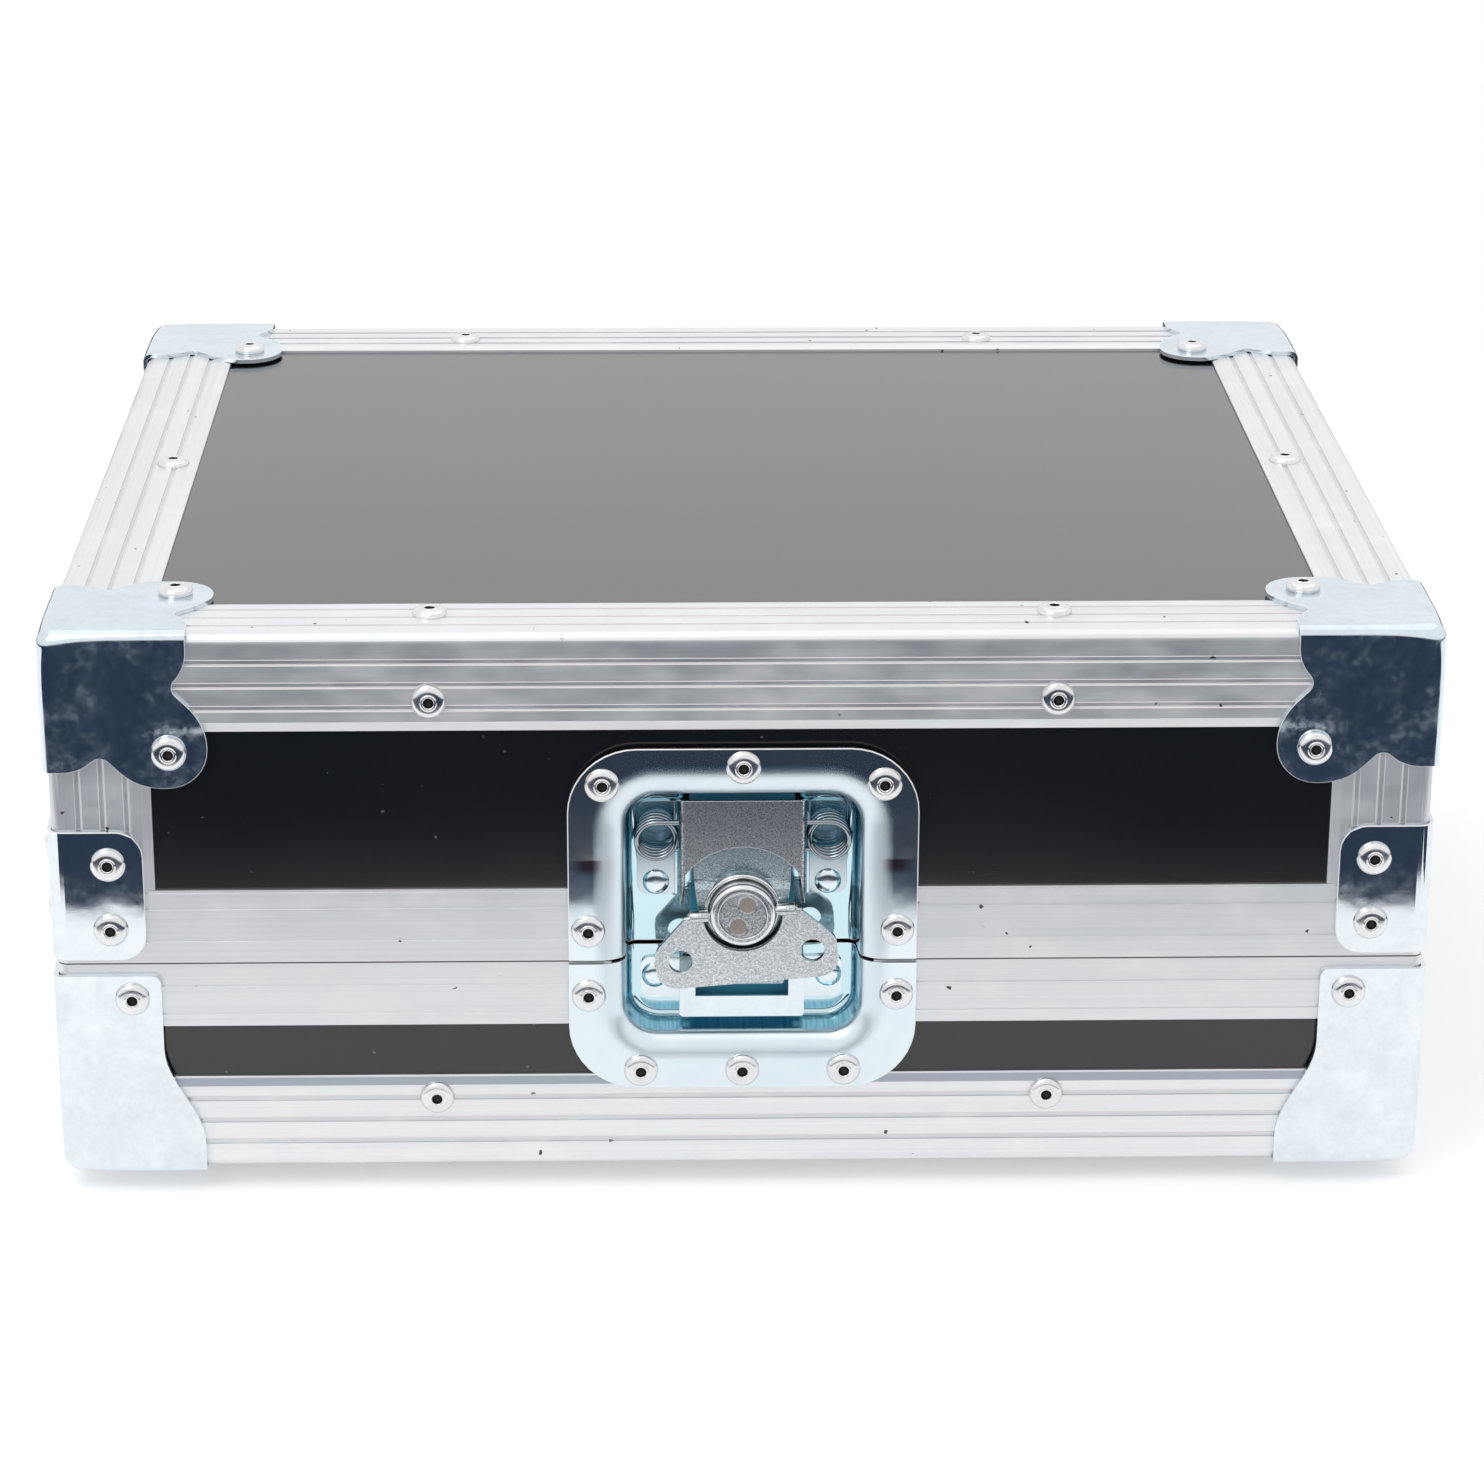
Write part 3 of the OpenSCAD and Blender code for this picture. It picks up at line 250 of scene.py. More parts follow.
def aluminium(axis):
    """Mill aluminium drawn along one axis: lengthwise streaks, wiped smudges and a few dark specks.
    Painted shade darkens the grooves, which lie at fixed distances from the outer edge of the case, and a
    painted highlight lines their edges; a painted dark line of shade runs along the seam, and painted
    shade lies on the lip below the base's panels. The upright posts are a little darker, which is painted
    shade."""
    s = Shader("aluminium_" + "xyz"[axis])
    edge = edge_distance(s, axis)
    # Painted shade darkens the middle of each groove, and a painted highlight, pale and not metallic,
    # lines its edges
    painted_groove_shade = groove_marks(s, edge, GROOVE_HALF)
    painted_groove_highlight = s.math("SUBTRACT", groove_marks(s, edge, GROOVE_HALF + GROOVE_HIGHLIGHT_WIDTH), painted_groove_shade)
    # Painted shade: a dark line along the seam between lid and base
    painted_seam_shade = s.near(s.axis(2), SEAM, SEAM_SHADE_HALF)
    streaks = drawn_streaks(s, axis)
    wiped = s.noise(1, detail=4, roughness=0.6, stretch=(45, 60, 110))
    specks = s.remap(s.grains(1000), 0.9994, 0.9997)
    bare = s.blend(s.remap(streaks, 0.3, 0.7), rgb(0.73, 0.745, 0.765), rgb(0.83, 0.84, 0.85))
    metal = s.blend(s.math("MULTIPLY", painted_groove_shade, 0.5), bare, rgb(0.52, 0.55, 0.59))
    metal = s.blend(painted_groove_highlight, metal, rgb(0.86, 0.83, 0.83))
    metal = s.blend(s.remap(wiped, 0.5, 0.75, 0.0, 0.5), metal, rgb(0.88, 0.88, 0.88))
    # Painted shade on the lip of the extrusions below the base's panels
    lip = s.near(edge, LEG - LIP_SHADE_WIDTH / 2, LIP_SHADE_WIDTH / 2)
    lip = s.math("MULTIPLY", lip, s.math("LESS_THAN", s.axis(2), SEAM))
    metal = s.blend(lip, metal, rgb(0.42, 0.46, 0.52))
    # Painted shade: the upright posts are darker and bluer than the rest of the aluminium
    if axis == 2:
        metal = s.blend(0.3, metal, rgb(0.3, 0.35, 0.42))
    # The painted groove highlights are not metallic, so they stay pale from every side
    s.set(Metallic=s.math("SUBTRACT", 1.0, painted_groove_highlight),
          # Dark specks, and the painted shade line along the seam
          Base_Color=s.blend(s.math("MAXIMUM", specks, painted_seam_shade), metal, rgb(0.1, 0.1, 0.1)),
          Roughness=s.remap(wiped, 0.35, 0.7, 0.38, 0.5),
          Normal=s.bump(streaks, 0.00003, 0.3))
    return s.material


def zinc_normal(s, ripple):
    """Soft ripples of a pressed sheet under a very fine grain."""
    return s.bump(s.noise(2600, detail=2), 0.000004, 0.4, s.bump(s.noise(60, detail=2), ripple, 0.5))


def blue_zinc(name, tint, roughness, ripple, patches=0.05):
    """Blue zinc plating on pressed steel: a mirror with wavering tint, hazy patches and soft ripples."""
    s = Shader(name)
    clouds = s.noise(75, detail=5, roughness=0.65)
    haze = s.noise(420, detail=4, roughness=0.7)
    mottle = s.math("ADD", s.math("MULTIPLY", haze, 0.4), s.math("MULTIPLY", clouds, 0.6))
    dull, pale = (rgb(*(min(1.0, v * share) for v in tint)) for share in (0.92, 1.05))
    s.set(Metallic=1.0,
          Base_Color=s.blend(s.remap(mottle, 0.38, 0.62), dull, pale),
          Roughness=s.remap(mottle, 0.42, 0.64, roughness, roughness + patches),
          Normal=zinc_normal(s, ripple))
    return s.material


def mouth_haze(s, across):
    """1 at the mouth of the dish, fading to 0 on its flange, which is the haze of the drawn lip."""
    level = s.off(s.axis(2), SEAM + (MOUTH_UP - MOUTH_DOWN) / 2)
    beyond = s.add("ShaderNodeCombineXYZ")
    straight = (MOUTH_HALF - MOUTH_CORNER, (MOUTH_UP + MOUTH_DOWN) / 2 - MOUTH_CORNER)
    for socket, distance, length in zip((beyond.inputs[0], beyond.inputs[2]), (across, level), straight):
        s.put(socket, s.math("MAXIMUM", s.math("SUBTRACT", distance, length), 0.0))
    from_corner = s.add("ShaderNodeVectorMath")
    from_corner.operation = "LENGTH"
    s.put(from_corner.inputs[0], beyond.outputs[0])
    return s.remap(from_corner.outputs["Value"], MOUTH_CORNER + HAZE_REACH, MOUTH_CORNER + HAZE_FULL)


def dish_zinc():
    """Blue zinc: clear on the flange, hazy on the lip and streaked on the drawn walls of the recess.
    Painted teal shade and inter-reflection darken the walls and floor of the recess, painted teal
    inter-reflection lies under the bracket and keeper, and a dark reddish patch lies below the fold of the
    flange on each side."""
    s = Shader("dish_zinc")
    fold = SEAM + UPPER_FOLD
    across = s.absolute(s.axis(0))
    depth = s.math("SUBTRACT", s.axis(1), FRONT)
    lip = mouth_haze(s, across)
    floor = s.remap(depth, FLOOR_FROM, FLOOR_FULL)
    walls = s.math("MULTIPLY", s.remap(depth, WALL_FROM, WALL_FULL),
                   s.remap(depth, FLOOR_FULL, FLOOR_FROM))
    # Painted reflection: a teal that is diffuse, not metallic, under the bracket and keeper, standing in
    # for light bounced inside them
    painted_teal_under_bracket = s.math("MULTIPLY", floor, s.remap(across, PAINTED_TEAL_HALF, PAINTED_TEAL_HALF - PAINTED_TEAL_FADE))
    drawn = s.noise(1, detail=3, stretch=(900, 60, 900))
    streaked = s.blend(s.remap(drawn, 0.3, 0.7), rgb(0.16, 0.42, 0.55), rgb(0.42, 0.68, 0.77))
    clouds = s.noise(60, detail=5, roughness=0.6)
    sheet = s.blend(s.remap(clouds, 0.3, 0.7), rgb(0.68, 0.78, 0.83), rgb(0.75, 0.83, 0.87))
    over_fold = s.math("MULTIPLY", s.remap(s.axis(2), fold - FOLD_FADE, fold), s.remap(lip, 0.2, 0.0))
    flange = s.blend(over_fold, sheet, rgb(0.83, 0.79, 0.73))
    # A dark reddish patch on each side, just below the fold
    below = s.math("MULTIPLY", s.remap(s.axis(2), fold + PATCH_EDGE, fold - PATCH_EDGE),
                   s.remap(s.axis(2), fold - PATCH_DROP, fold - PATCH_DROP / 2))
    reddish_patch = s.math("MULTIPLY", s.remap(s.off(across, PATCH_X), PATCH_REACH, PATCH_FULL), below)
    flange = s.blend(s.math("MULTIPLY", reddish_patch, 0.85), flange, rgb(0.3, 0.11, 0.1))
    # Painted teal shade and inter-reflection in the recess: a paler teal on the floor, a darker streaked
    # teal on the walls
    base = s.blend(walls, s.blend(floor, s.blend(lip, flange, sheet), rgb(0.56, 0.74, 0.8)), streaked)
    clear = s.mixed(lip, s.remap(clouds, 0.35, 0.65, 0.07, 0.1), 0.3)
    # Not metallic where the painted teal under the bracket and keeper lies
    s.set(Metallic=s.math("SUBTRACT", 1.0, painted_teal_under_bracket),
          Base_Color=s.blend(painted_teal_under_bracket, base, rgb(0.1, 0.45, 0.65)),
          Roughness=s.mixed(walls, s.mixed(floor, clear, 0.05), 0.2),
          Normal=zinc_normal(s, 0.0001))
    return s.material


def speckle(s):
    """A crystalline speckle from 0 to 1."""
    return s.math("ADD", s.math("MULTIPLY", s.grains(3400), 0.45),
                  s.math("MULTIPLY", s.noise(2000, detail=4), 0.55))


def speckled_zinc(name, dark, pale):
    """Dull zinc on stamped steel: a crystalline speckle of greys."""
    s = Shader(name)
    grey = speckle(s)
    s.set(Metallic=1.0,
          Base_Color=s.blend(s.remap(grey, 0.25, 0.75), rgb(*dark), rgb(*pale)),
          Roughness=s.remap(grey, 0.2, 0.8, 0.27, 0.17),
          Normal=s.bump(grey, 0.00003, 0.35))
    return s.material


def bracket_zinc():
    """Grainy on the bracket's front, and smooth zinc on its flanges, with a painted teal reflection near
    their top.
    """
    s = Shader("bracket_zinc")
    grey = speckle(s)
    behind = s.remap(s.axis(1), FRONT + GRAIN_DEPTH, FRONT + GRAIN_DEPTH + GRAIN_FADE)
    # Painted reflection: the flanges turn a darker teal towards their top
    painted_teal_reflection = s.remap(s.axis(2), SEAM + TEAL_RISE, SEAM + TEAL_RISE + TEAL_FADE)
    grainy = s.blend(s.remap(grey, 0.25, 0.75), rgb(0.2, 0.21, 0.235), rgb(0.56, 0.58, 0.6))
    smooth = s.blend(painted_teal_reflection, rgb(0.66, 0.76, 0.8), rgb(0.34, 0.56, 0.66))
    s.set(Metallic=1.0, Base_Color=s.blend(behind, grainy, smooth),
          Roughness=s.mixed(behind, s.remap(grey, 0.2, 0.8, 0.32, 0.2), 0.16),
          Normal=s.bump(s.math("MULTIPLY", grey, s.math("SUBTRACT", 1.0, behind)), 0.00003, 0.35))
    return s.material


def bright_metal(name, color, roughness, metallic=1.0):
    """Turned or drawn bright metal with fine marks."""
    s = Shader(name)
    marks = s.noise(1500, detail=3, roughness=0.6)
    dull = s.noise(220, detail=3)
    s.set(Metallic=metallic,
          Base_Color=s.blend(s.remap(dull, 0.35, 0.65), rgb(*(v * 0.92 for v in color)), rgb(*color)),
          Roughness=s.remap(dull, 0.3, 0.7, roughness, roughness + 0.1),
          Normal=s.bump(marks, 0.000008, 0.5))
    return s.material


def drilled_steel():
    """Dull brownish steel in the drilled dimples of the spindle."""
    s = Shader("drilled_steel")
    s.set(Base_Color=s.blend(s.noise(1200), rgb(0.2, 0.17, 0.15), rgb(0.34, 0.3, 0.27)), Roughness=0.55)
    return s.material


def dark_hole():
    """Near-black steel deep in the hole of a rivet: painted shade of the deep hole."""
    s = Shader("rivet_hole")
    s.set(Metallic=0.6, Base_Color=s.blend(s.noise(900), rgb(0.01, 0.01, 0.01), rgb(0.05, 0.045, 0.04)),
          Roughness=0.5)
    return s.material


def rubber():
    """Moulded black rubber."""
    s = Shader("foot_rubber")
    grain = s.noise(1400, detail=3)
    s.set(Base_Color=s.blend(grain, rgb(0.018, 0.018, 0.019), rgb(0.034, 0.034, 0.035)), Roughness=0.62,
          Normal=s.bump(grain, 0.00005, 0.6))
    return s.material


def foam_material():
    """Dark open-cell foam: small pits and a soft powdery sheen."""
    s = Shader("foam")
    pits = s.add("ShaderNodeTexVoronoi", Vector=s.place, Scale=950.0).outputs["Distance"]
    shade = s.noise(420, detail=4)
    s.set(Base_Color=s.blend(s.remap(pits, 0.1, 0.6), rgb(0.014, 0.0145, 0.016), rgb(0.05, 0.052, 0.056)),
          Roughness=0.95, Sheen_Weight=0.25, Sheen_Roughness=0.5,
          Normal=s.bump(s.math("ADD", pits, shade), 0.0005, 0.7))
    return s.material


# Sizes that the fine pieces and the finishes share with the frame, in metres

DISH_SHEET = 1.2 * MM
dish_low, dish_high = (Vector(c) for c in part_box("lid_dish"))
base_low = Vector(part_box("base_dish")[0])
FRONT = dish_low.y + DISH_SHEET
SEAM = dish_low.z
DISH_DEPTH = dish_high.y - FRONT - DISH_SHEET
DISH_HALF = dish_high.x
edge_low, edge_high = (Vector(c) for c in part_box("lid_edge_front"))
back_high = Vector(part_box("lid_edge_back")[1])
side_high = Vector(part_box("lid_edge_sides")[1])
case_low = Vector((-side_high.x, edge_low.y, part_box("base_edge_front")[0][2]))
case_high = Vector((side_high.x, back_high.y, edge_high.z))
UPPER_FOLD = 32.7 * MM
LOWER_FOLD = 29.7 * MM
MOUTH_HALF = 38.5 * MM
MOUTH_UP = 56.9 * MM
MOUTH_DOWN = 28.8 * MM
MOUTH_CORNER = 14 * MM
# Haze of the lip past the mouth's outline: where it ends, and where it is full
HAZE_REACH = 6.3 * MM
HAZE_FULL = 2.5 * MM
# Depths behind the flange where the painted teal shade of the walls and that of the floor start and are
# full
WALL_FROM = 2.2 * MM
WALL_FULL = 5 * MM
FLOOR_FROM = 12.5 * MM
FLOOR_FULL = 13.8 * MM
# Half the width of the painted teal inter-reflection under the bracket and keeper, and how far it fades
PAINTED_TEAL_HALF = 16 * MM
PAINTED_TEAL_FADE = 1 * MM
FOLD_FADE = 6 * MM
# Dark reddish patch on each side, below the fold
PATCH_X = 45 * MM
PATCH_REACH = 5.5 * MM
PATCH_FULL = 2 * MM
PATCH_EDGE = 0.3 * MM
PATCH_DROP = 5 * MM
# Depth at which the bracket's grain ends, and height above the seam where the painted teal reflection on
# its flanges starts
GRAIN_DEPTH = 4.4 * MM
GRAIN_FADE = 0.5 * MM
TEAL_RISE = 26 * MM
TEAL_FADE = 5 * MM
spindle_low, spindle_high = (Vector(c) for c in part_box("spindle"))
AXIS_X = (spindle_low.x + spindle_high.x) / 2
AXIS_Z = (spindle_low.z + spindle_high.z) / 2
CASE_MIDDLE = (case_low + case_high) / 2
CASE_HALF = (case_high - case_low) / 2
LEG = 30 * MM
GROOVE_SHARES = (0.287, 0.523, 0.76)
GROOVE_HALF = 0.8 * MM
# Width of the painted highlight along each edge of a groove
GROOVE_HIGHLIGHT_WIDTH = 0.25 * MM
# Width of the painted shade on the lip below the base's panels
LIP_SHADE_WIDTH = 3.1 * MM
# Half the width of the painted dark line of shade along the seam
SEAM_SHADE_HALF = 0.22 * MM

MATERIALS = {
    "laminate": laminate(),
    "corner_steel": blue_zinc("corner_zinc", (0.74, 0.8, 0.84), 0.05, 0.00018),
    "dish_steel": dish_zinc(),
    "latch_steel": speckled_zinc("speckled_zinc", (0.36, 0.4, 0.42), (0.72, 0.75, 0.76)),
    "hinge_steel": blue_zinc("hinge_zinc", (0.68, 0.74, 0.78), 0.2, 0.0001),
    "bright_steel": bright_metal("bright_steel", (0.8, 0.81, 0.82), 0.16),
    # Painted shade: the spring wire is darker than bright steel, standing in for the shadows and
    # inter-reflections among its coils
    "spring_wire": bright_metal("spring_wire", (0.34, 0.38, 0.41), 0.05),
    "rivet": bright_metal("rivet_metal", (0.8, 0.8, 0.81), 0.14),
    "foot_rubber": rubber(),
    "foam": foam_material(),
}
HAZY_ZINC = blue_zinc("hazy_zinc", (0.7, 0.78, 0.84), 0.07, 0.0002, 0.2)
FLAT_ZINC = blue_zinc("keeper_zinc", (0.74, 0.82, 0.86), 0.13, 0.00004)
BRACKET = bracket_zinc()
SHADED_HOLE = dark_hole()
# Painted shade: a darker, tealer copy of the latch's speckled zinc, for the hook plate in the shade behind
# the bracket's arch
SHADED_HOOK = speckled_zinc("hook_zinc", (0.2, 0.27, 0.31), (0.52, 0.6, 0.63))
DIMPLE = drilled_steel()
# Pale steel on the sheared edges, mostly not metallic so that it shows white from every side: partly the
# real bare edge, partly a painted highlight
BARE_EDGE_AND_HIGHLIGHT = bright_metal("raw_edge", (0.92, 0.93, 0.94), 0.42, 0.2)


# Fine pieces

def ride_mesh(name, bm, body, materials):
    """A smooth-shaded piece from a bmesh, on a body."""
    mesh = bpy.data.meshes.new(name)
    bmesh.ops.recalc_face_normals(bm, faces=bm.faces)
    bm.to_mesh(mesh)
    bm.free()
    mesh.shade_smooth()
    for material in materials:
        mesh.materials.append(material)
    piece = bpy.data.objects.new(name, mesh)
    scene.collection.objects.link(piece)
    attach(piece, body)
    return piece


def add_piece(name, bm, stands_for, materials):
    """A piece in the place of a CAD node, on the node's body."""
    piece = ride_mesh(name, bm, body_of[stands_for], materials)
    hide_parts(stands_for)
    return piece


def add_bevel(piece, width, angle=35, material=-1):
    bevel = piece.modifiers.new("bevel", "BEVEL")
    bevel.width = width
    bevel.segments = 2
    bevel.material = material
    bevel.limit_method = "ANGLE"
    bevel.angle_limit = math.radians(angle)
    bevel.harden_normals = True
    bevel.use_clamp_overlap = True


def add_sheet(piece, thickness, along_normals, edge):
    """Thickens a surface into sheet metal, with sheared edges rounded to a width, whose pale finish is
    partly real bare steel and partly a painted highlight.
    """
    solid = piece.modifiers.new("sheet", "SOLIDIFY")
    solid.thickness = thickness
    solid.offset = 1 if along_normals else -1
    solid.use_even_offset = True
    add_bevel(piece, edge, angle=55, material=1)


def bridge_rings(bm, rings, closed, material=0):
    """Quads between rings of vertices that have the same count."""
    for a, b in zip(rings, rings[1:]):
        count = len(a) if closed else len(a) - 1
        for i in range(count):
            j = (i + 1) % len(a)
            face = bm.faces.new((a[i], a[j], b[j], b[i]))
            face.material_index = material


def circle(radius, steps):
    """Points of a circle, as (x, z)."""
    return [(radius * math.cos(math.tau * k / steps), radius * math.sin(math.tau * k / steps))
            for k in range(steps)]


def quarter(steps):
    """Angles from 0 to a right angle."""
    return [math.pi / 2 * k / steps for k in range(steps + 1)]


def revolve(bm, profile, place, outwards, steps=40, material_of=lambda radius, height: 0):
    """A turned solid: profile is (radius, height) from the middle of its back to the middle of its
    front, and outwards is the direction of its height."""
    side = outwards.orthogonal().normalized()
    other = outwards.cross(side)
    rings = []
    for radius, height in profile[1:-1]:
        rings.append([bm.verts.new(place + height * outwards + x * side + z * other)
                      for x, z in circle(radius, steps)])
    for end, ring in ((profile[0], rings[0]), (profile[-1], rings[-1])):
        tip = bm.verts.new(place + end[1] * outwards)
        for k in range(steps):
            face = bm.faces.new((tip, ring[k], ring[(k + 1) % steps]))
            face.material_index = material_of(*end)
    for i, (a, b) in enumerate(zip(rings, rings[1:])):
        radius = (profile[i + 1][0] + profile[i + 2][0]) / 2
        height = (profile[i + 1][1] + profile[i + 2][1]) / 2
        bridge_rings(bm, [a, b], True, material_of(radius, height))


def islands(node):
    """Points of each separate solid of a CAD node."""
    places = {}
    group = []
    for v in node.data.vertices:
        group.append(places.setdefault(tuple(round(c, 6) for c in v.co), len(places)))
    root = list(range(len(places)))

    def find(i):
        while root[i] != i:
            root[i] = root[root[i]]
            i = root[i]
        return i

    for a, b in (e.vertices for e in node.data.edges):
        root[find(group[a])] = find(group[b])
    found = {}
    for place, i in places.items():
        found.setdefault(find(i), []).append(Vector(place))
    return list(found.values())


def seat_of(points):
    """(middle of the seat, outward direction, radius, height) of a rivet head."""
    low = Vector(min(p[i] for p in points) for i in range(3))
    high = Vector(max(p[i] for p in points) for i in range(3))
    size = high - low
    axis = min(range(3), key=lambda i: size[i])
    middle = (low + high) / 2
    radius = max(size) / 2
    unit = Vector(i == axis for i in range(3))

    def reach(level):
        """Radius of the head at a level of its axis."""
        return max((p - middle - (p[axis] - middle[axis]) * unit).length
                   for p in points if abs(p[axis] - level) < TOUCH)

    outwards = 1 if reach(low[axis]) > reach(high[axis]) else -1
    middle[axis] = low[axis] if outwards > 0 else high[axis]
    return middle, outwards * unit, radius, size[axis]


# Radius and height shares of a blind rivet head: dome, raised ring and the hole left by its mandrel
DOME_SHARES = [(0, -0.3), (0.97, -0.3), (1, 0.05), (1, 0.14), (0.985, 0.26), (0.955, 0.4), (0.915, 0.54),
               (0.865, 0.66), (0.8, 0.755), (0.73, 0.815), (0.65, 0.85), (0.57, 0.87), (0.51, 0.875),
               (0.475, 0.89), (0.45, 0.97), (0.41, 1), (0.36, 1), (0.32, 0.96), (0.295, 0.88), (0.28, 0.6),
               (0.27, 0.3), (0, 0.25)]
HOLE_SHARE = 0.29
# Plain low dome of the small rivets in the dish
CAP_SHARES = [(0, 0), (0.98, 0), (1, 0.1), (0.97, 0.3), (0.88, 0.55), (0.74, 0.77), (0.56, 0.9),
              (0.34, 0.98), (0.15, 1), (0, 1)]
SMALL_RIVET = 4 * MM
BRACKET_RIVET_DROP = 0.5 * MM


def add_rivets():
    """Turned heads in the place of the plain rivets."""
    for name in ("base_rivets", "lid_rivets"):
        bm = bmesh.new()
        for points in islands(nodes[name]):
            seat, outwards, radius, height = seat_of(points)
            profile = [(r * radius, h * height) for r, h in DOME_SHARES]
            revolve(bm, profile, seat, outwards,
                    material_of=lambda r, h: 1 if r < HOLE_SHARE * radius and h > 0 else 0)
        add_piece(name.replace("rivets", "rivet_heads"), bm, name, [MATERIALS["rivet"], SHADED_HOLE])
    for name, rise in (("bracket_rivets", -BRACKET_RIVET_DROP), ("keeper_rivets", 0)):
        bm = bmesh.new()
        for points in islands(nodes[name]):
            seat, outwards, _, height = seat_of(points)
            revolve(bm, [(r * SMALL_RIVET, h * height) for r, h in CAP_SHARES],
                    seat + Vector((0, 0, rise)), outwards)
        add_piece(name.replace("rivets", "rivet_heads"), bm, name, [FLAT_ZINC])


# Latch dish: shape of its section, and the fold across its flange

DISH_CORNER = 20.5 * MM
LIP = 4.5 * MM
LIP_SPREAD = 3.5 * MM
DRAFT = 1.3 * MM
SINK = 2.2 * MM
FOLD_HALF = 0.25 * MM
FOLD_SLOPE = 0.012
SEAM_GAP = 0.55 * MM
FLOOR_MARGIN = 0.3 * MM
SHEARED_EDGE = 0.35 * MM
FLANGE_SHARES = (0.75, 0.45)
ARC_STEPS = 10
SIDE_STEPS = 6
WALL_STEPS = 4
SINK_STEPS = 6


def half_ring(bm, half, top, corner, y, way):
    """Row of vertices from the seam up one side, over the top and down the other, at depth y."""
    points = [(half, SEAM_GAP + (top - corner - SEAM_GAP) * k / SIDE_STEPS) for k in range(SIDE_STEPS)]
    points += [(half - corner + corner * math.cos(a), top - corner + corner * math.sin(a))
               for a in quarter(ARC_STEPS)]
    points += [(-x, z) for x, z in reversed(points)]
    return [bm.verts.new((x, FRONT + y, SEAM + way * z)) for x, z in points]


def dish_rows():
    """(inset from the mouth, depth) of each row of the section, from the mouth to the floor."""
    rows = [((LIP + LIP_SPREAD) * math.sin(a) - LIP_SPREAD, LIP - DISH_SHEET - LIP * math.cos(a))
            for a in quarter(ARC_STEPS)]
    wall = DISH_DEPTH - SINK
    rows += [(LIP, LIP - DISH_SHEET + (wall - LIP + DISH_SHEET) * k / WALL_STEPS)
             for k in range(1, WALL_STEPS)]
    rows += [(LIP + SINK - SINK * math.cos(a), wall + SINK * math.sin(a)) for a in quarter(SINK_STEPS)]
    return rows


def add_dish(name, way, top, mouth, fold):
    """Half of the dish. way is 1 above the seam and -1 below it; the heights are from the seam."""
    bm = bmesh.new()
    rings = [half_ring(bm, DISH_HALF, top, DISH_CORNER, -DISH_SHEET, way)]
    for share in FLANGE_SHARES:
        rings.append(half_ring(bm, MOUTH_HALF + share * (DISH_HALF - MOUTH_HALF),
                               mouth + share * (top - mouth),
                               MOUTH_CORNER + share * (DISH_CORNER - MOUTH_CORNER), -DISH_SHEET, way))
    for inset, depth in dish_rows():
        half = MOUTH_HALF - inset + DRAFT * (1 - max(0, depth) / DISH_DEPTH)
        rings.append(half_ring(bm, half, mouth - inset, MOUTH_CORNER - inset, depth, way))
    inset = LIP + SINK + FLOOR_MARGIN
    rings.append(half_ring(bm, MOUTH_HALF - inset, mouth - inset, MOUTH_CORNER - inset, DISH_DEPTH, way))
    bridge_rings(bm, rings, False)
    bm.faces.new(rings[-1])
    for side in (-1, 1):
        bmesh.ops.bisect_plane(bm, geom=bm.verts[:] + bm.edges[:] + bm.faces[:],
                               plane_co=(0, 0, SEAM + way * fold + side * FOLD_HALF), plane_no=(0, 0, 1))
    for v in bm.verts:
        flat = 1 - min(1, max(0, (v.co.y - FRONT + DISH_SHEET) / LIP))
        away = max(0, abs(v.co.z - SEAM - way * fold) - FOLD_HALF)
        v.co.y -= flat * FOLD_SLOPE * away
    piece = add_piece(name + "_sheet", bm, name, [MATERIALS["dish_steel"], BARE_EDGE_AND_HIGHLIGHT])
    add_sheet(piece, DISH_SHEET, piece.data.polygons[0].normal.y > 0, SHEARED_EDGE)


def add_dishes():
    add_dish("lid_dish", 1, dish_high.z - SEAM, MOUTH_UP, UPPER_FOLD)
    add_dish("base_dish", -1, SEAM - base_low.z, MOUTH_DOWN, LOWER_FOLD)


# Springs

WIRE = 0.8 * MM
FRONT_TURN_OUT = 2.2 * MM
COIL_TURNS = 3.5
TURN_STEPS = 40


def spring_path(low, high, side):
    """Middle of a spring's wire: a leg, the coils from front to back, and a second leg. side is -1 on the
    left and 1 on the right."""
    leg_x = low.x if side > 0 else high.x
    coil = (high.z - low.z) / 2 - WIRE
    middle_x = (high.x if side > 0 else low.x) - side * (coil + WIRE)
    middle_z = (high.z + low.z) / 2
    start_y, end_y = low.y + WIRE - FRONT_TURN_OUT, high.y - WIRE
    points = [(leg_x, start_y, middle_z + coil)]
    steps = int(COIL_TURNS * TURN_STEPS)
    for k in range(steps + 1):
        turn = math.tau * COIL_TURNS * k / steps
        points.append((middle_x + side * coil * math.sin(turn), start_y + (end_y - start_y) * k / steps,
                       middle_z + coil * math.cos(turn)))
    points.append((leg_x, end_y, middle_z - coil))
    return points


def add_springs():
    """Each spring is one wire."""
    for name, side in (("spring_left", -1), ("spring_right", 1)):
        points = spring_path(*(Vector(c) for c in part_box(name)), side)
        curve = bpy.data.curves.new(name + "_wire", "CURVE")
        curve.dimensions = "3D"
        curve.bevel_depth = WIRE
        curve.bevel_resolution = 4
        curve.use_fill_caps = True
        spline = curve.splines.new("POLY")
        spline.points.add(len(points) - 1)
        for point, place in zip(spline.points, points):
            point.co = (*place, 1)
        spline.use_smooth = True
        curve.materials.append(MATERIALS["spring_wire"])
        wire = bpy.data.objects.new(name + "_wire", curve)
        scene.collection.objects.link(wire)
        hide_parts(name)
        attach(wire, body_of[name])


# Spindle

